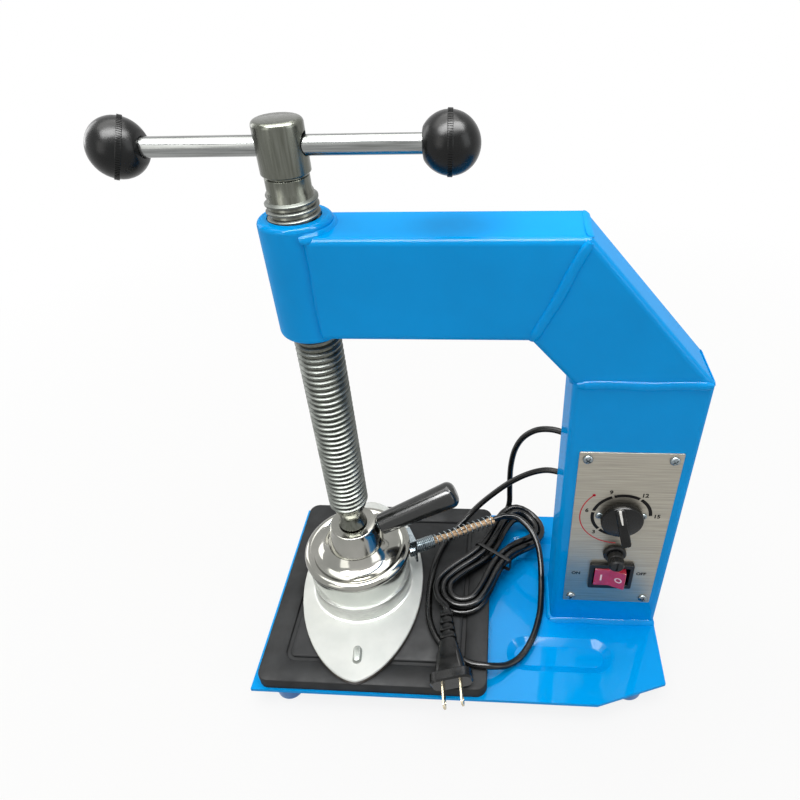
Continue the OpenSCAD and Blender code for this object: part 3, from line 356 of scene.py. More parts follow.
# Bare turned steel, oiled: darker and browner than the plated parts, with tool marks round it
turnedSteel = makeFinish("turnedSteel", {
    "shader": {"Metallic": 1.0}, "tones": ("#4D504C", "#6E716D"), "toneMm": 1.6, "rough": (0.34, 0.48, 3),
    "stretch": (8, 8, 1), "grain": (0.6, 0.06, 0.12)})

# The screw's head and neck, ground and worn by the bar: smoother, with faint upright scratches
groundSteel = makeFinish("groundSteel", {
    "shader": {"Metallic": 1.0}, "tones": ("#55574F", "#6B6D66"), "toneMm": 1.4, "rough": (0.2, 0.3, 4),
    "stretch": (1, 1, 14)})

# Drawn bar with nickel: smooth, slightly streaked along its length
drawnBar = makeFinish("nickelPlatedBar", {
    "shader": {"Metallic": 1.0}, "tones": ("#6E706E", "#969897"), "toneMm": 1.2, "rough": (0.16, 0.26, 1.5),
    "stretch": (25, 1, 1)})

# Chromed steel pressing: sharp reflections, dulled a little by handling
chrome = makeFinish("chromedSteel", {
    "shader": {"Metallic": 1.0}, "tones": ("#84857F", "#9C9B95"), "toneMm": 30, "rough": (0.07, 0.17, 12)})

# Polished stainless band: paler than the chrome, soft reflections
polishedBand = makeFinish("polishedStainless", {
    "shader": {"Metallic": 1.0}, "tones": ("#CDD0CC", "#DCDEDA"), "toneMm": 20, "rough": (0.12, 0.22, 10)})

# Sand-cast aluminium, blasted: pale grey with a fine grain and no clear reflection
castAlloy = makeFinish("blastedCastAluminium", {
    "shader": {"Metallic": 0.05, "Specular IOR Level": 0.15}, "tones": ("#BCBFBB", "#C6C8C4"), "toneMm": 15,
    "rough": (0.5, 0.66, 4), "grain": (0.9, 0.18, 0.4)})

# The same casting where a tool has turned it: greyer, streaked round
turnedAlloy = makeFinish("turnedAluminium", {
    "shader": {"Metallic": 0.95}, "tones": ("#C2C4C1", "#DADBD7"), "toneMm": 0.8, "rough": (0.28, 0.42, 2),
    "stretch": (6, 6, 1)})

# Its raised lug: darker grey than the casting, as painted shade on its sides, with a dull gloss
lugAlloyPaintedShade = makeFinish("lugAluminiumPaintedShade", {
    "shader": {"Metallic": 0.6}, "tones": ("#858985", "#9DA19C"), "toneMm": 3, "rough": (0.34, 0.46, 2)})

# Its edge band: dark brown, as painted shade on the plate's thickness
edgeAlloyPaintedShade = makeFinish("edgeAluminiumPaintedShade", {
    "shader": {"Metallic": 0.3}, "tones": ("#3A3531", "#57504A"), "toneMm": 7, "rough": (0.5, 0.7, 5)})

# Pressed phenolic: hard black with a waxy gloss
phenolic = makeFinish("pressedPhenolic", {
    "shader": {"Specular IOR Level": 0.22}, "tones": ("#090A0A", "#121313"), "toneMm": 8,
    "rough": (0.2, 0.33, 6), "grain": (1.6, 0.15, 0.08)})

# The same phenolic turned and buffed, as on the grip: a clear streak of light along it
buffedPhenolic = makeFinish("buffedPhenolic", {
    "shader": {"Specular IOR Level": 0.6}, "tones": ("#0B0D0C", "#151716"), "toneMm": 8,
    "rough": (0.17, 0.24, 6)})

# Moulded ABS with a fine eroded texture
blackAbs = makeFinish("mouldedBlackAbs", {
    "shader": {"Specular IOR Level": 0.25}, "tones": ("#08090A", "#101112"), "toneMm": 5,
    "rough": (0.34, 0.48, 4), "grain": (0.6, 0.08, 0.25)})

# Tinted clear polycarbonate over a lamp: deep red, lit a little from inside
redLens = makeFinish("redPolycarbonate", {
    "shader": {"IOR": 1.58, "Coat Weight": 0.4, "Emission Color": "#D01C30", "Emission Strength": 0.05},
    "tones": ("#9C1A34", "#C02240"), "toneMm": 9, "rough": (0.12, 0.2, 5)})

# Extruded soft vinyl: black, with the slight waviness of a cord that was wound
vinyl = makeFinish("extrudedVinyl", {
    "shader": {"IOR": 1.53, "Specular IOR Level": 0.3}, "tones": ("#060707", "#0D0E0E"), "toneMm": 12,
    "rough": (0.18, 0.3, 9), "grain": (2.5, 0.2, 0.1)})

# Braided glass-fibre sleeve: tan, with braid ridges about 0.7 mm apart
sleeve = makeFinish("braidedGlassFibre", {
    "tones": ("#B98F66", "#DCC3A0"), "toneMm": 2, "rough": (0.7, 0.9, 3), "grain": (0.7, 0.25, 0.5)})

# Turned bronze washer, nickelled brass blades: soft metal gloss
bronze = makeFinish("turnedBronze", {
    "shader": {"Metallic": 1.0}, "tones": ("#8F6A35", "#A9824A"), "toneMm": 3, "rough": (0.26, 0.38, 3)})
nickelBrass = makeFinish("nickelPlatedBrass", {
    "shader": {"Metallic": 1.0}, "tones": ("#B8AD93", "#D2C8AF"), "toneMm": 3, "rough": (0.18, 0.3, 3)})

# Pressed mica, moulded polyamide and drawn glass inside the head, column and fuse
micaSheet = makeFinish("pressedMica", {
    "tones": ("#A58B5A", "#C4AD7C"), "toneMm": 4, "rough": (0.35, 0.55, 4)})
blockPlastic = makeFinish("mouldedPolyamide", {
    "tones": ("#CFC7B2", "#DED7C4"), "toneMm": 6, "rough": (0.45, 0.55, 5)})
clearGlass = makeFinish("drawnGlass", {
    "shader": {"IOR": 1.5, "Transmission Weight": 0.8}, "tones": ("#E6EEEC", "#F2F6F5"), "toneMm": 20,
    "rough": (0.03, 0.08, 8)})

# Screen-printed inks, a pale switch mark and a white painted highlight: flat, slightly matt films
blackInk = makeFinish("blackPrintInk", {
    "shader": {"Specular IOR Level": 0.1}, "tones": ("#0B0A0A", "#141212"), "toneMm": 3,
    "rough": (0.45, 0.55, 3)})
redInk = makeFinish("redPrintInk", {
    "shader": {"Specular IOR Level": 0.1}, "tones": ("#B00F28", "#C01A34"), "toneMm": 3,
    "rough": (0.45, 0.55, 3)})
# White for the knob's crest: a painted highlight
knobCrestHighlight = makeFinish("whitePaintedHighlight",
                      {"tones": ("#E2E1DC", "#EFEEEA"), "toneMm": 2, "rough": (0.4, 0.5, 3)})
paleInk = makeFinish("paleSwitchMark",
                     {"tones": ("#E9C9CC", "#F3DEDF"), "toneMm": 2, "rough": (0.35, 0.45, 3)})
print("materials made:", len(bpy.data.materials))

# Floor and studio light


def directRays(owner):
    # 1 for what the camera, a mirror or a clear body sees, 0 for light that falls on the object
    rays = addNode(owner, "ShaderNodeLightPath")
    mirrored = addNode(owner, "ShaderNodeMath", {"operation": "MAXIMUM"},
                       {0: rays.outputs["Is Glossy Ray"], 1: rays.outputs["Is Transmission Ray"]})
    direct = addNode(owner, "ShaderNodeMath", {"operation": "MAXIMUM"},
                     {0: rays.outputs["Is Camera Ray"], 1: mirrored.outputs["Value"]})
    return direct.outputs["Value"]


# Half width and distances in metres
backdrop = {"half": 6, "tone": "#C4C4C2", "nearby": 0.25, "faraway": 0.9, "nearWhite": 0.86}


def addFloor():
    mesh = bpy.data.meshes.new("floor")
    half = backdrop["half"]
    mesh.from_pydata([(-half, -half, 0), (half, -half, 0), (half, half, 0), (-half, half, 0)], [],
                     [(0, 1, 2, 3)])
    floor = bpy.data.objects.new("floor", mesh)
    bpy.context.scene.collection.objects.link(floor)
    paper = bpy.data.materials.new("paleBackdropPaper")
    paper.use_nodes = True
    shader = paper.node_tree.nodes["Principled BSDF"]
    shader.inputs["Base Color"].default_value = hexColour(backdrop["tone"])
    shader.inputs["Roughness"].default_value = 0.9
    shader.inputs["Specular IOR Level"].default_value = 0.1
    white = addNode(paper, "ShaderNodeEmission", {"Color": hexColour("#FFFFFF"), "Strength": 1.0})
    # Whiter with the distance, so that the paper has no edge and the shadow stays by the press
    spot = addNode(paper, "ShaderNodeTexCoord").outputs["Object"]
    away = addNode(paper, "ShaderNodeVectorMath", {"operation": "LENGTH"}, {"Vector": spot})
    fade = addNode(paper, "ShaderNodeMapRange",
                   {"From Min": backdrop["nearby"], "From Max": backdrop["faraway"],
                    "To Min": backdrop["nearWhite"], "To Max": 1.0}, {"Value": away.outputs["Value"]})
    share = addNode(paper, "ShaderNodeMath", {"operation": "MULTIPLY"},
                    {0: directRays(paper), 1: fade.outputs["Result"]})
    mix = addNode(paper, "ShaderNodeMixShader", {}, {"Fac": share.outputs["Value"], 1: shader.outputs["BSDF"],
                                                     2: white.outputs["Emission"]})
    paper.node_tree.links.new(mix.outputs["Shader"],
                              paper.node_tree.nodes["Material Output"].inputs["Surface"])
    mesh.materials.append(paper)


def addWorld(softLight):
    world = bpy.data.worlds.new("studio")
    bpy.context.scene.world = world
    world.use_nodes = True
    fill = world.node_tree.nodes["Background"]
    fill.inputs["Color"].default_value = hexColour("#FFFFFF")
    fill.inputs["Strength"].default_value = softLight
    seen = addNode(world, "ShaderNodeBackground", {"Color": hexColour("#FFFFFF"), "Strength": 1.0})
    mix = addNode(world, "ShaderNodeMixShader", {}, {"Fac": directRays(world), 1: fill.outputs["Background"],
                                                     2: seen.outputs["Background"]})
    world.node_tree.links.new(mix.outputs["Shader"], world.node_tree.nodes["World Output"].inputs["Surface"])


def addLamp(name, lamp):
    data = bpy.data.lights.new(name, "AREA")
    data.shape = "RECTANGLE"
    data.size, data.size_y = lamp["size"]
    data.energy = lamp["watts"]
    data.color = lamp["colour"]
    light = bpy.data.objects.new(name, data)
    light.location = lamp["at"]
    light.rotation_euler = (Vector(lamp["aim"]) - Vector(lamp["at"])).to_track_quat("-Z", "Y").to_euler()
    light.visible_diffuse = not lamp.get("glossOnly", False)
    bpy.context.scene.collection.objects.link(light)


studio = {
    "overhead": {"at": (-0.1, 0.1, 1.7), "aim": (0, 0, 0.2), "size": (1.7, 1.7), "watts": 39,
                 "colour": (1, 0.99, 0.97)},
    "frontLeft": {"at": (-1.2, -1.6, 0.9), "aim": (0, 0, 0.2), "size": (0.9, 1.2), "watts": 8,
                  "colour": (1, 0.98, 0.95)},
    "rightFill": {"at": (1.6, -0.6, 0.8), "aim": (0, 0, 0.2), "size": (0.8, 1.2), "watts": 8,
                  "colour": (0.95, 0.98, 1)},
    "backLeft": {"at": (-1.5, 0.8, 0.7), "aim": (0, 0, 0.2), "size": (0.6, 1.0), "watts": 6,
                 "colour": (1, 1, 1)},
    "glossCard": {"at": (0.1, -0.25, 1.25), "aim": (0, 0, 0.3), "size": (1.6, 0.5), "watts": 60,
                  "colour": (1, 1, 1), "glossOnly": True},
}
addFloor()
addWorld(0.25)
for lampName, lamp in studio.items():
    addLamp(lampName, lamp)
print("stage lit")

# Cords: routes in mm, as the solids lie

cordDiameter = 5
padTop = boxMm("rubber_pad")[1].z
baseTop = boxMm("rubber_pad")[0].z
onPad = padTop + cordDiameter / 2 + 0.1
onBase = baseTop + cordDiameter / 2 + 0.1
gland = {
    "x": sum(c.x for c in boxMm("mains_gland")) / 2,
    "y": boxMm("mains_gland")[1].y,
    "mainsZ": sum(c.z for c in boxMm("mains_gland")) / 2,
    "leadZ": sum(c.z for c in boxMm("lead_gland")) / 2,
}
leadTurn = math.radians(27)  # direction of the heater's lead, seen from above
leadZ = sum(c.z for c in boxMm("lead_nipple")) / 2
leadAhead = Vector((math.cos(leadTurn), math.sin(leadTurn), 0))
spring = {"from": 62, "pitch": 4.4, "turns": 12, "wire": 1, "outside": 10}
spring["to"] = spring["from"] + spring["turns"] * spring["pitch"] + 2 * spring["wire"]

hank = {"loops": 4, "half": 42, "bend": 10, "step": 5.5, "waist": 2.7, "waistStep": 5.7, "layerStep": 6,
        "middle": (104.5, 27), "turn": math.radians(236), "tie": 0.8, "dropFrom": 119, "dropRun": 30}
hank["z"] = padTop + hank["tie"] + 0.4 + cordDiameter / 2


def hankOut(t):
    # Rings out of the innermost loop
    inner = hank["loops"] / 2
    return max(inner - t, t - inner - 0.25, 0)


def hankSide(u, out):
    wide = hank["bend"] + out * hank["step"]
    narrow = hank["waist"] + out * hank["waistStep"]
    return narrow + (wide - narrow) * (1 - math.cos(math.pi * u / hank["half"])) / 2


def hankPoint(t):
    out, quarter = hankOut(t), (t % 1) * 4
    half, r = hank["half"], hank["bend"] + out * hank["step"]
    if quarter <= 1:
        u, v = half * (2 * quarter - 1), hankSide(half * (2 * quarter - 1), out)
    elif quarter < 2:
        u, v = half + r * math.sin(math.pi * (quarter - 1)), r * math.cos(math.pi * (quarter - 1))
    elif quarter <= 3:
        u, v = half * (5 - 2 * quarter), -hankSide(half * (5 - 2 * quarter), out)
    else:
        u, v = -half - r * math.sin(math.pi * (quarter - 3)), -r * math.cos(math.pi * (quarter - 3))
    c, s = math.cos(hank["turn"]), math.sin(hank["turn"])
    x, y = hank["middle"][0] + u * c + v * s, hank["middle"][1] + u * s - v * c
    climb = max(0, min(1, (t - hank["loops"] / 2) * 4)) * hank["layerStep"]
    drop = max(0, min(1, (x - hank["dropFrom"]) / hank["dropRun"]))
    return Vector((x, y, hank["z"] + climb - (padTop - baseTop) * drop * drop * (3 - 2 * drop)))


hankRings = 48  # rings in each loop
hankPoints = [hankPoint(i / hankRings) for i in range(int((hank["loops"] + 0.25) * hankRings) + 1)]
hankStart = hankPoints[0] - cordDiameter * Vector((math.cos(hank["turn"]), math.sin(hank["turn"]), 0))
mainsRoute = [
    (gland["x"], gland["y"], gland["mainsZ"]), (gland["x"], 50, gland["mainsZ"]),
    (170.5, 57.5, gland["mainsZ"]), (165.5, 65.5, gland["mainsZ"] + 0.5), (157.5, 72, gland["mainsZ"] + 1),
    (147.5, 76.5, gland["mainsZ"]), (137, 80, 127.5), (127.5, 83, 117), (121.5, 85.5, 102), (118.6, 87, 84),
    (117.8, 87.5, 66), (117.9, 86.6, 51), (118, 85.4, 41),
    (hankStart.x + 3.4, hankStart.y + 5.2, hankStart.z + 2.3), hankStart]
plug = {"neck": Vector((70, -33, 41)), "face": Vector((78, -88, 38.2)), "relief": 24, "flange": (30, 16, 8),
        "roll": math.radians(12), "bladeGap": 12.7, "blade": (6.4, 1.5, 16)}
plugAhead = (plug["face"] - plug["neck"]).normalized()
tailZ = hank["z"] + hank["layerStep"]
tail = [hankPoints[-1], (60.4, -2.5, tailZ), (60.1, -11, tailZ + 0.9), (63.4, -20.6, tailZ + 2.2),
        plug["neck"] - cordDiameter * plugAhead, plug["neck"] + plugAhead]
mainsPath = smoothRoute(mainsRoute, 5) + hankPoints + smoothRoute(tail, 6)[1:]

springEnd = spring["to"] * leadAhead + Vector((0, 0, leadZ))
leadStart = springEnd + 0.3 * leadAhead
leadRoute = [
    leadStart, leadStart + 4 * leadAhead, (114, 58, 49.6), (125, 58.5, 47), (135, 51, 42.5),
    (141.5, 39, 36.5), (144, 26, 28.5), (144.2, 13, 22.4), (143.5, -2, onBase), (141.5, -19, onBase),
    (136, -38, onBase), (127, -54, onBase), (117, -63, 23), (108, -67.5, 28), (99, -69, 31), (88, -67, onPad),
    (75, -60, onPad), (64, -49, onPad), (57, -34, onPad), (54.5, -16, onPad), (54.5, 4, onPad),
    (57, 24, onPad), (62, 41, onPad), (70, 57, onPad), (80, 68.5, 34.5), (91, 75.5, 43.5), (104, 78.5, 56),
    (118, 79, 69.5), (133, 77, 82), (146.5, 74, 89.5), (157.5, 70, gland["leadZ"] - 0.5),
    (165.5, 64.5, gland["leadZ"]), (170.5, 57, gland["leadZ"]), (gland["x"], 50, gland["leadZ"]),
    (gland["x"], gland["y"], gland["leadZ"])]
leadSteps = 6
leadRises = 15 * leadSteps  # the stretch up to this ring is made as its own piece, the rest rides on the frame
leadPath = smoothRoute(leadRoute, leadSteps)
risingPath, lyingPath = leadPath[:leadRises + 1], leadPath[leadRises:][::-1]


def addCord(name, path, body, nodes):
    tube = swept(path, circle(cordDiameter / 2, 14))
    return addPiece(name, tube, vinyl, body, nodes, sharp=60)


mainsCord = addCord("mainsCord", mainsPath, "frame", ["mains_cord", "mains_hank"])
lyingLead = addCord("heaterLead", lyingPath, "frame", ["heater_cord"])
risingLead = addCord("heaterLeadRise", risingPath, None, ["heater_cord"])
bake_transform(risingLead)
print("cords laid:", round(routeLength(mainsPath)), round(routeLength(leadPath)), "mm")


def alongPlug(solid):
    # Local +X runs from the neck to the face, +Y across the blades
    across = Vector((0, 0, 1)).cross(plugAhead).normalized()
    turn = Matrix((plugAhead, across, plugAhead.cross(across))).transposed().to_4x4()
    return moved(solid, Matrix.Translation(plug["neck"]) @ turn @ Matrix.Rotation(plug["roll"], 4, "X"))


def plugLoft(*rows):
    # Rows of place along the plug, width, height and corner
    return lofted([[(x, a, b) for a, b in roundedRect(w, h, r, 5)] for x, w, h, r in rows])


def addPlug():
    length = (plug["face"] - plug["neck"]).length
    relief = plug["relief"]
    flangeW, flangeH, flangeT = plug["flange"]
    ribs = []
    for i in range(4):  # strain relief: four stepped collars with slits between them
        x0, x1, w = relief * i / 4, relief * (i + 0.72) / 4, 8.6 + 1.1 * i
        ribs.append(plugLoft((x0, w - 0.8, 8.4, 3), (x0 + 0.5, w, 9.2, 3.2), (x1 - 0.5, w + 0.5, 9.6, 3.2),
                             (x1, w - 0.3, 8.8, 3)))
    core = plugLoft((-0.5, 6, 6, 2.9), (relief + 1, 9.5, 8, 3))
    back = length - flangeT
    body = plugLoft((relief - 0.5, 11.5, 9.5, 3), (relief + 0.6, 13, 11, 3.4), (relief + 9, 15.5, 12.2, 3.4),
                    (relief + 9.4, 17, 12.8, 3.4), (back - 1, 22, 13.4, 3.6), (back + 0.8, 23, 13.6, 3.6))
    flange = plugLoft((back, flangeW - 2.4, flangeH - 2.4, 5), (back + 0.9, flangeW, flangeH, 6),
                      (length - 1.2, flangeW, flangeH, 6), (length, flangeW - 2.2, flangeH - 2.2, 5))
    body = addPiece("plugBody", alongPlug(joined(*ribs, core, body, flange)), vinyl, "frame", ["plug_body"],
                    sharp=40)
    bladeH, bladeT, bladeL = plug["blade"]
    shapes = []
    for s in (-1, 1):
        mid = s * plug["bladeGap"] / 2
        outline = [(-1, -bladeH / 2), (bladeL - 2, -bladeH / 2), (bladeL, -bladeH / 4), (bladeL, bladeH / 4),
                   (bladeL - 2, bladeH / 2), (-1, bladeH / 2)]
        flat = extruded(outline, -bladeT / 2, bladeT / 2)
        shapes.append([[Vector((length + p.x, mid + p.z, p.y)) for p in flat[0]], flat[1]])
    blades = addPiece("plugBlades", alongPlug(joined(*shapes)), nickelBrass, "frame", ["plug_blades"])
    hole = moved(turned([(0, -9), (1.5, -9), (1.5, 9), (0, 9)], 20),
                 Matrix.Translation((length + bladeL - 4, 0, 0)) @ Matrix.Rotation(math.pi / 2, 4, "X"))
    cutFrom(blades, alongPlug(hole))
    addBevel(blades, 0.25)
    return body, blades


def addHankTie():
    # A twisted wire tie round the middle of the hank, its ends curled up
    halfW = hank["waist"] + hank["loops"] / 2 * hank["waistStep"] + cordDiameter / 2
    tall = cordDiameter + hank["layerStep"] + 0.4
    loop = roundedRect(2 * halfW + hank["tie"], tall + hank["tie"], cordDiameter / 2, 6)
    middle = Vector((*hank["middle"], hank["z"] + hank["layerStep"] / 2))
    across = Vector((math.sin(hank["turn"]), -math.cos(hank["turn"]), 0))
    ring = [middle + across * a + Vector((0, 0, b)) for a, b in loop]
    band = roundedRect(3, hank["tie"], hank["tie"] * 0.45, 3)
    start = ring.index(min(ring, key=lambda p: abs((p - middle).dot(across) - halfW * 0.7) - p.z))
    ring = ring[start:] + ring[:start + 1]
    along = Vector((math.cos(hank["turn"]), math.sin(hank["turn"]), 0))
    points = []
    for i, p in enumerate(ring):
        ahead = (ring[min(i + 1, len(ring) - 1)] - ring[max(i - 1, 0)]).normalized()
        out = ahead.cross(along).normalized()
        points.append([p + along * a + out * b for a, b in band])
    return addPiece("hankTie", lofted(points), blackAbs, "frame", ["hank_tie"])


plugBody, plugBlades = addPlug()
hankTie = addHankTie()
print("plug and tie made")

# Frame: the tubes, boss, base and feet keep their solids and take paint


def paint(node, finish):
    cad[node].data.materials.clear()
    cad[node].data.materials.append(finish)


for node in ("base_plate", "column", "elbow", "arm", "nut_boss"):
    paint(node, enamel)
# The feet take the darker enamel: painted shade under the base plate
paint("feet", footEnamelPaintedShade)

weld = {"width": 6.6, "height": 2.5, "ripple": 4.2, "step": 0.65, "seed": 7}


def weldBead(path, outward, width=weld["width"], height=weld["height"]):
    # A hand-laid bead: overlapping ripples whose width and height wander a little
    path, outward = [Vector(p) for p in path], [Vector(o).normalized() for o in outward]
    last, sections, run, phase = len(path) - 1, [], 0, random.uniform(0, 6)
    for i, (p, out) in enumerate(zip(path, outward)):
        ahead = (path[min(i + 1, last)] - path[max(i - 1, 0)]).normalized()
        side = ahead.cross(out).normalized()
        run += (p - path[max(i - 1, 0)]).length
        wave = 0.02 * math.sin(2 * math.pi * run / weld["ripple"]) + 0.07 * math.sin(run / 5.3 + phase)
        ends = min(1, 0.55 + 8 * min(i, last - i) / last)
        tall = height * ends * (0.86 + wave)
        wide = width / 2 * ends * (0.92 + 0.6 * wave)
        wander = 0.35 * math.sin(run / 6.7 + 2 * phase)
        sections.append([p + side * (wide * math.cos(a) + wander) + out * (tall * math.sin(a) - 0.35)
                         for a in [math.pi * k / 8 for k in range(9)]])
    return lofted(sections)


def straightBead(a, b, out, width=weld["width"], height=weld["height"]):
    a, b = Vector(a), Vector(b)
    count = max(8, round((b - a).length / weld["step"]))
    return weldBead([a.lerp(b, i / count) for i in range(count + 1)], [out] * (count + 1), width, height)


armLow, armHigh = boxMm("arm")
columnLow, columnHigh = boxMm("column")
bossHigh = boxMm("nut_boss")[1]
faceY = armHigh.y
bossR = bossHigh.x
armH = armHigh.z - armLow.z
columnW = columnHigh.x - columnLow.x
elbowTilt = math.asin(armH / columnW)  # the elbow's tube is the arm's tube, cut so that it covers the column
mitreX = columnLow.x - (armLow.z - columnHigh.z) / math.tan(elbowTilt)
mitreTopX = mitreX + armH * math.tan(elbowTilt / 2)


def addWelds():
    random.seed(weld["seed"])
    beads = []
    seamX, foot, inner = armLow.x, baseTop + 0.8, faceY - 3
    seamY = ((math.sqrt(max(bossR ** 2 - seamX ** 2, 0)) if seamX < bossR else faceY) + faceY) / 2
    for s in (-1, 1):
        y, footY = s * faceY, s * (faceY + 0.8)
        beads += [
            straightBead((mitreX + 1, y, armLow.z + 2), (mitreTopX - 1, y, armHigh.z - 2), (0, s, 0)),
            straightBead((columnLow.x + 2, y, columnHigh.z), (columnHigh.x - 2, y, columnHigh.z), (0, s, 0)),
            straightBead((seamX, s * seamY, armLow.z + 1), (seamX, s * seamY, armHigh.z - 1), (-0.35, s, 0),
                         6, 1.3),
            straightBead((columnLow.x, footY, foot), (columnHigh.x, footY, foot), (0, s, 1), 8, 2.4)]
    for x, s, width, height in ((columnLow.x - 0.8, -1, 7, 2.2), (columnHigh.x - 0.2, 1, 3, 0.6)):
        beads.append(straightBead((x, -faceY, foot), (x, faceY, foot), (s, 0, 1), width, height))
    for x, z, out, size in ((columnLow.x, columnHigh.z, (-1, 0, 0.2), ()),
                            (columnHigh.x - 0.2, columnHigh.z, (1, 0, 0.4), (5, 0.9)),
                            (mitreX, armLow.z, (-0.4, 0, -1), ()),
                            (mitreTopX, armHigh.z, (0.4, 0, 1), (5, 0.7))):
        beads.append(straightBead((x, -inner, z), (x, inner, z), out, *size))
    turns = [math.radians(-72 + 144 * i / 70) for i in range(71)]
    ring = [Vector((bossR * math.cos(a), bossR * math.sin(a), armHigh.z)) for a in turns]
    beads.append(weldBead(ring, [(math.cos(a), math.sin(a), 1) for a in turns], width=7.5, height=2.2))
    addPiece("weldBeads", joined(*beads), enamel, "frame", ["weld_beads"], sharp=60)


addWelds()
print("frame painted and welded")

# Rubber pad: rim, groove and field, all with moulded edges

pad = {"corner": 8, "rim": 17, "groove": 3, "deep": 2, "edge": 0.9}


def addPad():
    low, high = boxMm("rubber_pad")
    w, d, middle = high.x - low.x, high.y - low.y, (low + high) / 2
    rim, groove, e, top, corner = pad["rim"], pad["groove"], pad["edge"], high.z, pad["corner"]
    floor, field = top - pad["deep"], rim + groove
    rows = []
    for inset, z, r in ((0, low.z, corner), (0, top - e, corner), (e * 0.3, top - e * 0.3, corner),
                        (e, top, corner - e), (rim - e, top, corner), (rim, top - e, corner),
                        (rim, floor, corner), (field, floor, corner - groove),
                        (field, top - e, corner - groove), (field + e, top, corner - groove)):
        rows.append([(middle.x + x, middle.y + y, z)
                     for x, y in roundedRect(w - 2 * inset, d - 2 * inset, max(r, 1), 8)])
    addPiece("rubberPad", lofted(rows), padRubber, "frame", ["rubber_pad"], sharp=50)


addPad()

# Screw: turned head with a cross hole, plain neck and a right-hand thread

screw = {"threadR": 14, "rootR": 12.2, "pitch": 4, "above": 14, "collarR": 11.5, "headR": 12.75, "headL": 26,
         "chamfer": 2.6, "hole": 5.8, "holeDrop": 12, "neckR": 8.5, "pilotR": 9.5, "neckL": 20, "pilotL": 12}
cupTop = boxMm("pivot_cup")[1].z
threadLow = cupTop + screw["neckL"]
threadHigh = bossHigh.z + screw["above"]
headHigh = boxMm("lead_screw")[1].z
headLow = headHigh - screw["headL"]


def threadRidge(steps=40):
    turns = (threadHigh - threadLow) / screw["pitch"] - 1
    count = int(turns * steps)
    sections, root = [], screw["rootR"]
    for i in range(count + 1):
        a = 2 * math.pi * i / steps
        rise = threadLow + screw["pitch"] * i / steps
        fade = min(1, i / (steps * 0.6), (count - i) / (steps * 0.4))
        crest = root + (screw["threadR"] - root) * max(fade, 0.02)
        shape = [(root - 0.5, 0.12), (root + 0.1, 0.2), (crest - 0.35, 0.36), (crest, 0.43), (crest, 0.63),
                 (crest - 0.35, 0.7), (root + 0.1, 0.86), (root - 0.5, 0.94)]
        sections.append([(r * math.cos(a), r * math.sin(a), rise + screw["pitch"] * f) for r, f in shape])
    return lofted(sections)


def addScrew():
    pilotLow = cupTop - screw["pilotL"]
    root, collar, head, pilot = screw["rootR"], screw["collarR"], screw["headR"], screw["pilotR"]
    body = turned([(0, pilotLow), (pilot - 1, pilotLow), (pilot, pilotLow + 1), (pilot, pilotLow + 4),
                   (pilot - 2, pilotLow + 4), (pilot - 2, pilotLow + 8), (pilot, pilotLow + 8),
                   (pilot, cupTop - 0.6), (pilot - 0.2, cupTop + 0.8)]
                  + arc(screw["neckR"] + 20, cupTop + 10, 20, 205, 170, 10)
                  + [(root, threadLow + 0.6), (root, threadHigh - 1), (collar, threadHigh),
                     (collar, headLow - 1.4), (collar - 0.7, headLow - 0.9), (collar - 0.7, headLow),
                     (head - 0.5, headLow + 0.2), (head, headLow + 0.7), (head, headHigh - screw["chamfer"])]
                  + arc(head - screw["chamfer"], headHigh - screw["chamfer"], screw["chamfer"], 15, 78, 5)
                  + [(0, headHigh)], 72)
    piece = addPiece("leadScrew", body, groundSteel, "screw", ["lead_screw"])
    holeZ = headHigh - screw["holeDrop"]
    cutFrom(piece, moved(turned([(0, -30), (screw["hole"], -30), (screw["hole"], 30), (0, 30)], 40),
                         Matrix.Translation((0, 0, holeZ)) @ Matrix.Rotation(math.pi / 2, 4, "Y")))
    addBevel(piece, 0.35, 2, 40)
    addPiece("screwThread", threadRidge(), turnedSteel, "screw", ["lead_screw"], sharp=32)


addScrew()

# Tommy bar with two phenolic balls; the ribbed parting line of each runs square to its direction in "seams"

ball = {"d": 30, "flat": 2, "ribs": 80, "band": 2.8, "bandUp": 0.3, "ribUp": 0.55,
        "seams": ((0.85, 0.41, -0.34), (1, 0.07, -0.05))}
rodLow, rodHigh = boxMm("bar_rod")
knobHigh = boxMm("ball_knobs")[1]
barZ = (rodLow.z + rodHigh.z) / 2
barR = (rodHigh.z - rodLow.z) / 2


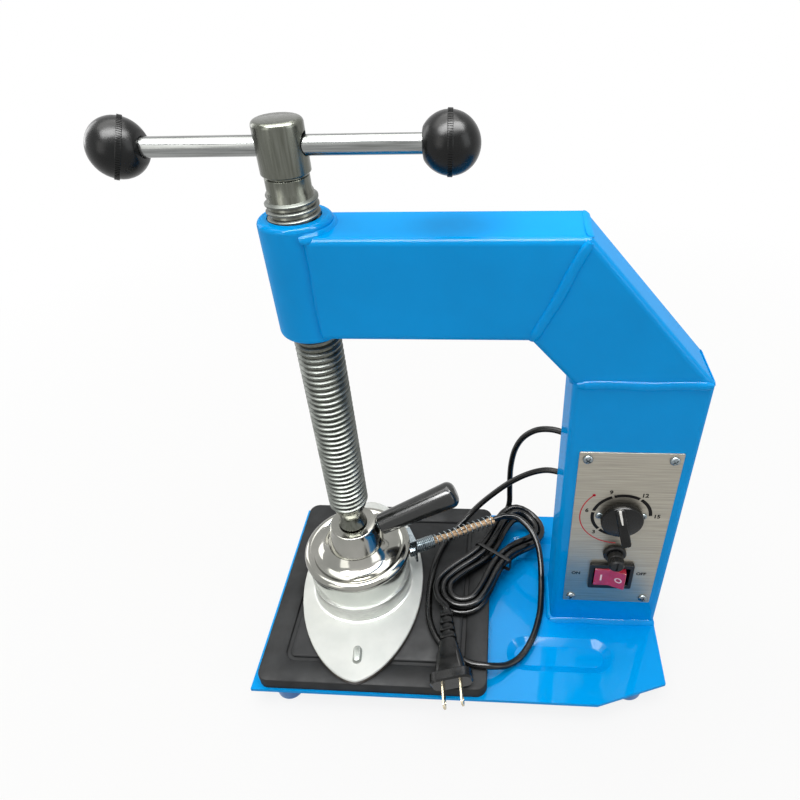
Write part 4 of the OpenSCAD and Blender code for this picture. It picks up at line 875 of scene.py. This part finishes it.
def addBar():
    half = (rodHigh.x - rodLow.x) / 2
    rod = turned([(0, -half), (barR - 0.8, -half), (barR, 0.8 - half), (barR, half - 0.8), (barR - 0.8, half),
                  (0, half)], 48)
    addPiece("tommyBar", moved(rod, Matrix.Translation((0, 0, barZ)) @ Matrix.Rotation(math.pi / 2, 4, "Y")),
             drawnBar, "tommy_bar", ["bar_rod"])
    r = ball["d"] / 2
    span = knobHigh.x - r
    shapes = []
    face = r - ball["flat"]
    rim = math.degrees(math.asin(face / r))
    profile = [(barR + 0.02, -face + 2), (barR + 0.3, -face)] + arc(0, 0, r, -rim + 2, 90, 44)[:-1] + [(0, r)]
    half, up = ball["band"] / 2, r + ball["bandUp"]
    band = turned([(r - 0.6, -half), (up - 0.25, -half), (up, 0.35 - half), (up, half - 0.35),
                   (up - 0.25, half), (r - 0.6, half)], 80, ring=True)
    rib = extruded(roundedRect(ball["band"] - 0.3, 0.5, 0.2, 2), r - 0.9, r + ball["ribUp"])
    for s, square in zip((-1, 1), ball["seams"]):
        centre = Matrix.Translation((s * span, 0, barZ))
        shapes.append(moved(turned(profile, 80), centre @ Matrix.Rotation(s * math.pi / 2, 4, "Y")))
        seam = centre @ Vector((1, 0, 0)).rotation_difference(Vector(square)).to_matrix().to_4x4()
        shapes.append(moved(band, seam @ Matrix.Rotation(math.pi / 2, 4, "Y")))
        for k in range(ball["ribs"]):
            shapes.append(moved(rib, seam @ Matrix.Rotation(2 * math.pi * k / ball["ribs"], 4, "X")))
    addPiece("ballKnobs", joined(*shapes), phenolic, "tommy_bar", ["ball_knobs"], sharp=50)


addBar()
print("screw and bar made")

# Heating head: cast plate, chromed skirt and cap, coned pivot cup

head = {"leafL": 87, "leafW": 48, "leafT": 5, "leafTurn": math.radians(6), "skirtR": 38.5, "rimR": 40.5,
        "rimRound": 4, "rimH": 8, "cupFootR": 21, "cupTopR": 17, "seamAt": math.radians(-84.5),
        "lug": (5.5, 12.5, 3.4), "lugFromTip": 20}
leafLow = boxMm("heating_plate")[0].z
leafTop = leafLow + head["leafT"]
collarTop = boxMm("skirt")[0].z
skirtTop = boxMm("skirt")[1].z
capLow, capTop = boxMm("chrome_cap")[0].z, boxMm("chrome_cap")[1].z


def leafOutline(inset=0):
    # Pointed oval, turned a little from the frame's depth
    points = []
    for i in range(120):
        a = 2 * math.pi * i / 120
        x = (head["leafW"] - inset) * math.cos(a) * abs(math.cos(a)) ** 0.25
        y = (head["leafL"] - inset) * math.sin(a)
        c, s = math.cos(head["leafTurn"]), math.sin(head["leafTurn"])
        points.append((x * c - y * s, x * s + y * c))
    return points


def addHeatingPlate():
    rows = [[(x, y, z) for x, y in leafOutline(inset)] for inset, z in
            ((0.5, leafLow), (0, leafLow + 0.5), (0, leafTop - 0.8), (0.25, leafTop - 0.25), (0.9, leafTop))]
    lugW, lugL, lugH = head["lug"]
    lugRows = []
    for inset, z in ((-0.8, -0.2), (-0.25, 0.25), (0, 0.8), (0, lugH - 0.9), (0.3, lugH - 0.3), (1, lugH)):
        outline = roundedRect(lugW - 2 * inset, lugL - 2 * inset, lugW / 2 - inset - 0.01, 8)
        lugRows.append([(x, y, z) for x, y in outline])
    lug = moved(lofted(lugRows), Matrix.Rotation(head["leafTurn"], 4, "Z")
                @ Matrix.Translation((0, head["lugFromTip"] - head["leafL"], leafTop)))
    addPiece("heatingPlate", lofted(rows), castAlloy, "heater", ["heating_plate"], sharp=50)
    # The lug takes a darker grey than the plate: painted shade on its sides
    addPiece("plateLug", lug, lugAlloyPaintedShade, "heater", ["heating_plate"], sharp=50)
    # A dark band round the plate's sides: painted shade on its thickness
    edge = [[(x, y, z) for x, y in leafOutline(inset)] for inset, z in
            ((0.45, leafLow - 0.02), (-0.06, leafLow + 0.5), (-0.06, leafTop - 1.4), (0.3, leafTop - 1.3))]
    addPiece("plateEdge", lofted(edge), edgeAlloyPaintedShade, "heater", ["heating_plate"], sharp=50)
    r = head["skirtR"]
    collar = turned([(r - 6, leafTop - 0.5), (r + 1.6, leafTop - 0.1)]
                    + arc(r + 1.6, leafTop + 1.6, 1.6, 270, 180, 5)
                    + [(r, collarTop - 0.5), (r - 0.3, collarTop), (r - 6, collarTop)], 128, ring=True)
    addPiece("plateCollar", collar, turnedAlloy, "heater", ["heating_plate"], sharp=40)


def addSkirt():
    r = head["skirtR"]
    band = turned([(r - 1, collarTop), (r - 0.25, collarTop), (r, collarTop + 0.4), (r, skirtTop),
                   (r - 1, skirtTop)], 160, ring=True)
    seam = []
    for i in range(7):  # lapped edge of the rolled band
        a = head["seamAt"] + (i - 3) * 0.011
        up = 0.28 * (1 - abs(i - 3) / 3.0)
        seam.append(((r - 0.2 + up) * math.cos(a), (r - 0.2 + up) * math.sin(a)))
    seam += [((r - 0.6) * math.cos(head["seamAt"] + k * 0.03),
              (r - 0.6) * math.sin(head["seamAt"] + k * 0.03)) for k in (1, -1)]
    addPiece("chromeSkirt", joined(band, extruded(seam, collarTop + 0.4, capLow + 1)), polishedBand, "heater",
             ["skirt"], sharp=40)


def addCap():
    # Rolled rim, shallow dish, then a trumpet slope up to the cup
    r, rr, foot = head["rimR"], head["rimRound"], head["cupFootR"]
    dishR, dishZ = r - 2 * rr + 0.6, capLow + 6.4
    slope = [(dishR - (dishR - foot) * t, dishZ + (capTop - dishZ) * t ** 2.3)
             for t in [i / 12 for i in range(13)]]
    roll = arc(r - rr, capLow + head["rimH"] - rr, rr, -35, 122, 16)
    under = [(x - 0.9, z - 1.2) for x, z in slope[::-1]]
    profile = ([(r - 1.6, capLow)] + roll + slope + [(12, capTop), (12, capTop - 1.2)] + under
               + [(r - rr - 3, skirtTop + 0.6), (r - 2, skirtTop + 0.6), (r - 2, capLow)])
    addPiece("chromeCap", turned(profile, 160, ring=True), chrome, "heater", ["chrome_cap"],
             sharp=30)


def addCup():
    foot, top, socket = head["cupFootR"], head["cupTopR"], screw["pilotR"] + 0.4
    floor = cupTop - screw["pilotL"] - 2
    profile = ([(0, capTop - 1), (foot - 1, capTop - 1), (foot - 0.4, capTop - 0.2), (foot, capTop + 0.8)]
               + [(foot - (foot - top) * t, capTop + 0.8 + (cupTop - capTop - 2) * t)
                  for t in (0.25, 0.5, 0.75, 1)] + arc(top - 0.9, cupTop - 0.9, 0.9, 15, 90, 4)
               + [(socket + 0.6, cupTop), (socket, cupTop - 0.6), (socket, floor), (0, floor)])
    addPiece("pivotCup", turned(profile, 128), chrome, "heater", ["pivot_cup"], sharp=24)


grip = {"turn": math.radians(15), "tilt": math.radians(19.5), "from": 21, "length": 63, "near": 8,
        "far": 10.25, "endRound": 6.15, "axisUp": 10.5}
gripZ = capLow + head["rimH"] + grip["axisUp"]
gripAhead = Vector((math.cos(grip["turn"]) * math.cos(grip["tilt"]),
                    math.sin(grip["turn"]) * math.cos(grip["tilt"]), math.sin(grip["tilt"])))


def addGrip():
    near, far, er, length = grip["near"], grip["far"], grip["endRound"], grip["length"]
    profile = ([(0, 0.1), (near - 0.7, 0.1), (near, 0.8)]
               + [(near + (far - near) * t * 0.97, 0.8 + (length - er - 0.8) * t) for t in (0.25, 0.5, 0.75)]
               + arc(far - er, length - er, er, 0, 90, 10) + [(0, length)])
    solid = aimed(turned(profile, 64), Vector((0, 0, gripZ)) + gripAhead * grip["from"], gripAhead)
    addPiece("bakedGrip", solid, buffedPhenolic, "heater", ["grip"], sharp=40)


addHeatingPlate()
addSkirt()
addCap()
addCup()
addGrip()

# Lead out of the head: bracket, threaded nipple, open spring and braided wires

lead = {"nippleR": 5.5, "nippleFrom": 45, "threadPitch": 1.5, "threadDeep": 0.55, "wireD": 3, "wiresFrom": 31}


def addLead():
    origin = Vector((0, 0, leadZ))
    r, pitch, x = lead["nippleR"], lead["threadPitch"], lead["nippleFrom"]
    ridges = [(3.4, x), (r - 0.6, x)]
    x += 0.6
    while x < spring["from"] - 1:
        ridges += [(r - lead["threadDeep"], x), (r, x + 0.35 * pitch), (r, x + 0.6 * pitch)]
        x += pitch
    ridges += [(r - 0.6, spring["from"]), (3.4, spring["from"])]
    addPiece("leadNipple", aimed(turned(ridges, 48, ring=True), origin, leadAhead), zincSteel, "heater",
             ["lead_nipple"], sharp=30)
    r, coils = (spring["outside"] - spring["wire"]) / 2, spring["turns"] * 24
    across = Vector((-math.sin(leadTurn), math.cos(leadTurn), 0))
    helix = [origin + leadAhead * (spring["from"] + spring["wire"] + spring["pitch"] * i / 24)
             + across * (r * math.cos(2 * math.pi * i / 24))
             + Vector((0, 0, r * math.sin(2 * math.pi * i / 24))) for i in range(coils + 1)]
    helix = [helix[0] - leadAhead * spring["wire"]] + helix + [helix[-1] + leadAhead * spring["wire"]]
    coil = addPiece("leadSpring", swept(helix, circle(spring["wire"] / 2, 10)), zincSteel, None,
                    ["lead_spring"], sharp=60)
    wires = []
    for s in (-1, 1):
        strand = []
        for i in range(41):
            d = lead["wiresFrom"] + (spring["to"] - lead["wiresFrom"]) * i / 40
            sway = 0.35 * math.sin(d * 0.21 + s) if d > spring["from"] else 0
            strand.append(origin + leadAhead * d + across * (s * lead["wireD"] * 0.52 + sway)
                          + Vector((0, 0, sway)))
        wires.append(swept(strand, circle(lead["wireD"] / 2, 14)))
    sleeves = addPiece("leadWires", joined(*wires), sleeve, None, ["lead_wires"], sharp=60)
    for piece in (coil, sleeves):
        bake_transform(piece)


addLead()
print("heating head made")

# Control panel: brushed sheet with screws, timer, fuse and rocker switch

panelLow, panelHigh = boxMm("control_panel")
panelFront = panelLow.y
dial = {"x": (panelLow.x + panelHigh.x) / 2, "z": sum(c.z for c in boxMm("timer_shaft")) / 2, "ringR": 19,
        "ringW": 2.3, "gap": 3.2, "ticks": {0: 281, 3: 225, 6: 169, 9: 112, 12: 56, 15: 0}, "numberR": 23.4,
        "number": 4.6, "redR": 27.2, "redW": 0.7, "red": (136, 269), "inkT": 0.08}

panel = {"corner": 0.8, "switchHole": (29, 23), "fuseHole": 6.1, "shaftHole": 3.4, "cut": 3, "word": 4,
         "screwIn": 5.5, "screwHead": (3.25, 2), "timerScrewHead": (2.5, 1.4), "timerScrewOut": 14.5,
         "seed": 11}
panel["words"] = (("ON", panelLow.x + 7.2, 0.5), ("OFF", panelHigh.x - 10.4, 1.5))


def onPanel(solid, x, z):
    return shifted(facing(solid, panelFront), x, 0, z)


def ringPart(r, w, a0, a1, t):
    steps = max(4, int(abs(a1 - a0) / 4))
    return extruded(arc(0, 0, r + w / 2, a0, a1, steps) + arc(0, 0, r - w / 2, a1, a0, steps), -0.02, t)


def lettering(words, size, thick):
    # Words as a closed solid, centred on their own middle
    text = bpy.data.curves.new("words", "FONT")
    text.body = words
    text.size = size
    text.align_x, text.align_y = "CENTER", "CENTER"
    text.extrude = thick / 2
    text.offset = size * 0.036
    text.resolution_u = 4
    holder = bpy.data.objects.new("words", text)
    bpy.context.scene.collection.objects.link(holder)
    bpy.context.view_layer.update()
    mesh = bpy.data.meshes.new_from_object(holder.evaluated_get(bpy.context.evaluated_depsgraph_get()))
    solid = [v.co.copy() for v in mesh.vertices], [tuple(f.vertices) for f in mesh.polygons]
    bpy.data.objects.remove(holder)
    bpy.data.meshes.remove(mesh)
    return shifted(solid, 0, 0, thick / 2 - 0.02)


def addPanel():
    w, h = panelHigh.x - panelLow.x, panelHigh.z - panelLow.z
    t = panelHigh.y - panelLow.y
    sheet = onPanel(extruded(roundedRect(w, h, panel["corner"], 3), -t, 0), dial["x"],
                    (panelLow.z + panelHigh.z) / 2)
    piece = addPiece("controlPanel", sheet, brushedSheet, "frame", ["control_panel"])
    for outline, z in ((roundedRect(*panel["switchHole"], 1, 3), rockerZ),
                       (circle(panel["fuseHole"], 32), fuseZ), (circle(panel["shaftHole"], 24), dial["z"])):
        cutFrom(piece, onPanel(extruded(outline, -panel["cut"], panel["cut"]), dial["x"], z))
    addBevel(piece, 0.2, 2)


def addPrint():
    ticks = dial["ticks"]
    half = math.degrees(dial["gap"] / 2 / dial["ringR"]) / 2.2
    parts = []
    for a, b in ((0, 3), (3, 6), (6, 9), (9, 12), (12, 15)):
        parts.append(ringPart(dial["ringR"], dial["ringW"], ticks[a] - half, ticks[b] + half, dial["inkT"]))
    black = [onPanel(p, dial["x"], dial["z"]) for p in parts]
    for number, angle in ticks.items():
        if number:
            a = math.radians(angle)
            black.append(onPanel(lettering(str(number), dial["number"], dial["inkT"]),
                                 dial["x"] + dial["numberR"] * math.cos(a),
                                 dial["z"] + dial["numberR"] * math.sin(a)))
    for word, x, up in panel["words"]:
        black.append(onPanel(lettering(word, panel["word"], dial["inkT"]), x, rockerZ + up))
    addPiece("panelBlackPrint", joined(*black), blackInk, "frame", ())
    start, end = dial["red"]
    dot = math.radians(start)
    red = [onPanel(ringPart(dial["redR"], dial["redW"], start, end, dial["inkT"]), dial["x"], dial["z"]),
           onPanel(extruded(circle(1.1, 20), -0.02, dial["inkT"]), dial["x"] + dial["redR"] * math.cos(dot),
                   dial["z"] + dial["redR"] * math.sin(dot))]
    addPiece("panelRedPrint", joined(*red), redInk, "frame", ())


def panScrew(headR, headT, shankL=3):
    # Domed head on a shank, drawn with the head towards the front
    dome = [(0, -shankL), (headR * 0.45, -shankL), (headR * 0.45, 0), (headR, 0), (headR, headT * 0.35)]
    dome += [(headR * math.cos(math.radians(a)), headT * 0.35 + headT * 0.65 * math.sin(math.radians(a)))
             for a in (20, 40, 60, 75)]
    return turned(dome + [(0, headT)], 32)


def crossRecess(reach, deep, top, turn):
    arms = []
    for a in (0, 90):
        bar = extruded(roundedRect(2 * reach, reach * 0.42, reach * 0.12, 2), top - deep, top + 1)
        arms.append(moved(bar, Matrix.Rotation(math.radians(a) + turn, 4, "Z")))
    return arms


def addScrews(name, node, places, headR, headT):
    random.seed(panel["seed"])
    piece = addPiece(name, joined(*[onPanel(panScrew(headR, headT), x, z) for x, z in places]), zincSteel,
                     "frame", [node])
    for x, z in places:
        for recess in crossRecess(headR * 0.62, headT * 0.55, headT, random.uniform(0, 1.5)):
            cutFrom(piece, onPanel(recess, x, z))
    addBevel(piece, 0.12, 1, 40)


rockerZ = sum(c.z for c in boxMm("switch_housing")) / 2
fuseZ = sum(c.z for c in boxMm("fuse_holder")) / 2
addPanel()
addPrint()
addScrews("panelScrews", "panel_screws",
          [(x, z) for x in (panelLow.x + panel["screwIn"], panelHigh.x - panel["screwIn"])
           for z in (panelLow.z + panel["screwIn"], panelHigh.z - panel["screwIn"])], *panel["screwHead"])
addScrews("timerScrews", "timer_screws",
          [(dial["x"] + s * panel["timerScrewOut"], dial["z"]) for s in (-1, 1)], *panel["timerScrewHead"])

knob = {"r": 14, "skirt": 5, "tail": 17, "low": 8, "bar": 6.4, "line": 1.7, "turn": math.radians(14)}


def addKnob():
    back = panelFront - boxMm("timer_knob")[1].y
    r, end = knob["r"], knob["r"] - 1
    skirt = turned([(0, back), (r - 0.4, back), (r, back + 0.5), (r, back + knob["skirt"] - 1.2),
                    (r - 0.5, back + knob["skirt"] - 0.3), (r - 1.4, back + knob["skirt"]),
                    (0, back + knob["skirt"] + 0.2)], 72)

    def ridge(y):  # height of the finger bar above the panel, from its tail to the pointing end
        rise = 1 if y > 0 else knob["tail"] - knob["low"] - 1
        return knob["low"] + 1 - rise * y / end

    sections = []
    for y, inset in ((-end - 0.1, 1.1), (-end + 0.3, 0.4), (-end + 1.2, 0), (-6, 0), (-1.5, 0), (0, 0),
                     (1.5, 0), (6, 0), (end - 1.2, 0), (end - 0.3, 0.4), (end + 0.1, 1.1)):
        half, top = knob["bar"] / 2 - inset, ridge(y) - inset * 0.6
        crown = arc(half - 1.1, top - 1.1, 1.1, 0, 90, 5) + arc(1.1 - half, top - 1.1, 1.1, 90, 180, 5)
        sections.append([(x, y, z)
                         for x, z in [(half + 0.35, back + 3)] + crown + [(-half - 0.35, back + 3)]])
    swing = Matrix.Rotation(knob["turn"], 4, "Z")
    addPiece("timerKnob", onPanel(joined(skirt, moved(lofted(sections), swing)), dial["x"], dial["z"]),
             phenolic, "dial", ["timer_knob"], sharp=40)
    # A pale painted highlight comes up over the pointing end and narrows along the ridge's crest
    line = []
    for y, z, half in ((end + 0.25, knob["low"] - 1.9, 0.5), (end - 0.1, ridge(end) - 0.25, 0.5),
                       (end - 1, ridge(end - 1) + 0.06, 0.5), (6, ridge(6) + 0.06, 0.45),
                       (0.6, ridge(0.6) + 0.06, 0.3)):
        half *= knob["line"]
        line.append([(-half, y, z), (half, y, z), (half, y - 0.2, z - 0.4), (-half, y - 0.2, z - 0.4)])
    addPiece("knobCrestPaintedHighlight", onPanel(moved(lofted(line), swing), dial["x"], dial["z"]), knobCrestHighlight, "dial", ())


fuseHolder = {"collarR": 8, "collarT": 3, "capR": 5.5, "capGap": 0.4, "slot": (1.4, 8), "slotDeep": 1.2,
              "ribs": 24}


def addFuse():
    capFront = panelFront - boxMm("fuse_cap")[0].y
    collarR, collarT = fuseHolder["collarR"], fuseHolder["collarT"]
    collar = turned([(6, -1), (6, 0), (collarR - 0.6, 0), (collarR, 0.6), (collarR, collarT - 0.9),
                     (collarR - 0.9, collarT), (5.6, collarT), (5.6, -1)], 48, ring=True)
    addPiece("fuseCollar", onPanel(collar, dial["x"], fuseZ), blackAbs, "frame", ["fuse_holder"])
    r, base = fuseHolder["capR"], collarT + fuseHolder["capGap"]
    capSolid = turned([(0, base), (r, base), (r, base + 4), (r - 0.3, base + 4.3), (r - 0.3, capFront - 1.2),
                       (r - 1.2, capFront - 0.1), (0, capFront)], 48)
    ribs = [moved(extruded(roundedRect(0.8, 0.8, 0.2, 2), base + 4.4, capFront - 1.4),
                  Matrix.Rotation(2 * math.pi * k / fuseHolder["ribs"], 4, "Z")
                  @ Matrix.Translation((r - 0.35, 0, 0))) for k in range(fuseHolder["ribs"])]
    piece = addPiece("fuseCap", onPanel(capSolid, dial["x"], fuseZ), blackAbs, "fuse_carrier", ["fuse_cap"])
    cutFrom(piece, onPanel(extruded(roundedRect(*fuseHolder["slot"], 0.3, 2),
                                    capFront - fuseHolder["slotDeep"], capFront + 1), dial["x"], fuseZ))
    addBevel(piece, 0.2, 2, 40)
    addPiece("fuseCapRibs", onPanel(joined(*ribs), dial["x"], fuseZ), blackAbs, "fuse_carrier", (),
             bevel=0.15)


switch = {"bezel": (31, 26, 2.5), "open": (25.9, 18.8), "rocker": (22, 18), "tilt": math.radians(11),
          "pivotIn": 2, "front": 7, "dip": 2, "dipCurve": 1.3}


def addSwitch():
    w, h, t = switch["bezel"]
    openW, openH = switch["open"]
    body = onPanel(extruded(roundedRect(w, h, 1.2, 4), 0, t), dial["x"], rockerZ)
    shell = onPanel(extruded(roundedRect(openW + 2.6, openH + 2.6, 0.6, 3), -19, 0.2), dial["x"], rockerZ)
    piece = addPiece("switchBezel", joined(body, shell), blackAbs, "frame", ["switch_housing"])
    cutFrom(piece, onPanel(extruded(roundedRect(openW, openH, 0.5, 3), -16, 9), dial["x"], rockerZ))
    addBevel(piece, 0.5, 3, 40)
    half = switch["rocker"][0] / 2
    pivotY = panelFront + switch["pivotIn"]
    front, dip, curve = switch["front"], switch["dip"], switch["dipCurve"]
    outline = [(half * k / 6, dip * (1 - abs(k / 6)) ** curve - front) for k in range(-6, 7)] + [
        (half - 1, 1), (3, 6), (-3, 6), (1 - half, 1)]
    solid = extruded(outline, -switch["rocker"][1] / 2, switch["rocker"][1] / 2)
    lay = Matrix.Translation((dial["x"], pivotY, rockerZ)) @ Matrix.Rotation(-switch["tilt"], 4, "Z")
    addPiece("rocker", moved(solid, lay), redLens, "switch", ["rocker"], sharp=28, bevel=0.45,
             bevelSteps=3)
    slope = math.atan2(dip, half)
    marks = []
    stroke = extruded(roundedRect(1.2, 6.4, 0.3, 2), -0.03, 0.06)
    ring = turned([(1.75, -0.03), (2.6, -0.03), (2.6, 0.06), (1.75, 0.06)], 32, ring=True)
    for s, mark in ((-1, stroke), (1, ring)):
        marks.append(moved(facing(mark, 0),
                           lay @ Matrix.Translation((s * half * 0.55, dip * 0.45 ** curve - front, 0))
                           @ Matrix.Rotation(-s * slope * 0.86, 4, "Z")))
    addPiece("rockerMarks", joined(*marks), paleInk, "switch", ())


addKnob()
addFuse()
addSwitch()
print("controls made")

# Glands at the back: flange and a ribbed, tapering boot

boot = {"flangeR": 8, "flangeT": 3, "rootR": 5.6, "tipR": 4, "ribs": 7}


def addGland(name, node):
    low, high = boxMm(node)
    wall = columnHigh.y
    length = high.y - wall
    profile = [(0, low.y - wall), (4.5, low.y - wall), (4.5, 0), (boot["flangeR"] - 0.4, 0),
               (boot["flangeR"], 0.5), (boot["flangeR"], boot["flangeT"] - 0.6),
               (boot["flangeR"] - 0.6, boot["flangeT"])]
    pitch = (length - 5) / boot["ribs"]
    for i in range(boot["ribs"]):
        r = boot["rootR"] + (boot["tipR"] - boot["rootR"]) * i / (boot["ribs"] - 1)
        y = 5 + pitch * i
        profile += [(r - 0.9, y - 1.2 if i == 0 else y), (r - 0.9, y + 0.3 * pitch), (r, y + 0.42 * pitch),
                    (r, y + 0.9 * pitch), (r - 0.9, y + pitch)]
    profile += [(2.6, length), (0, length)]
    middle = ((low.x + high.x) / 2, wall, (low.z + high.z) / 2)
    addPiece(name, aimed(turned(profile, 40), middle, (0, 1, 0)), blackAbs, "frame", [node],
             sharp=30)


addGland("mainsGland", "mains_gland")
addGland("leadGland", "lead_gland")

# Solids that stay as they are take their own finish

kept = {
    "timer_body": blackAbs, "timer_shaft": zincSteel, "fuse_nut": blackAbs, "fuse": clearGlass,
    "terminal_block": blockPlastic, "inner_wires": vinyl, "thrust_washer": bronze, "grub_screw": zincSteel,
    "mica_sheets": micaSheet,
    "heating_element": zincSteel, "clamp_plate": zincSteel, "clamp_screws": zincSteel, "thermostat": phenolic,
    "grip_stem": zincSteel, "lead_bracket": zincSteel, "nipple_nut": zincSteel,
}
for node, finish in kept.items():
    paint(node, finish)
print("kept solids finished:", len(kept))
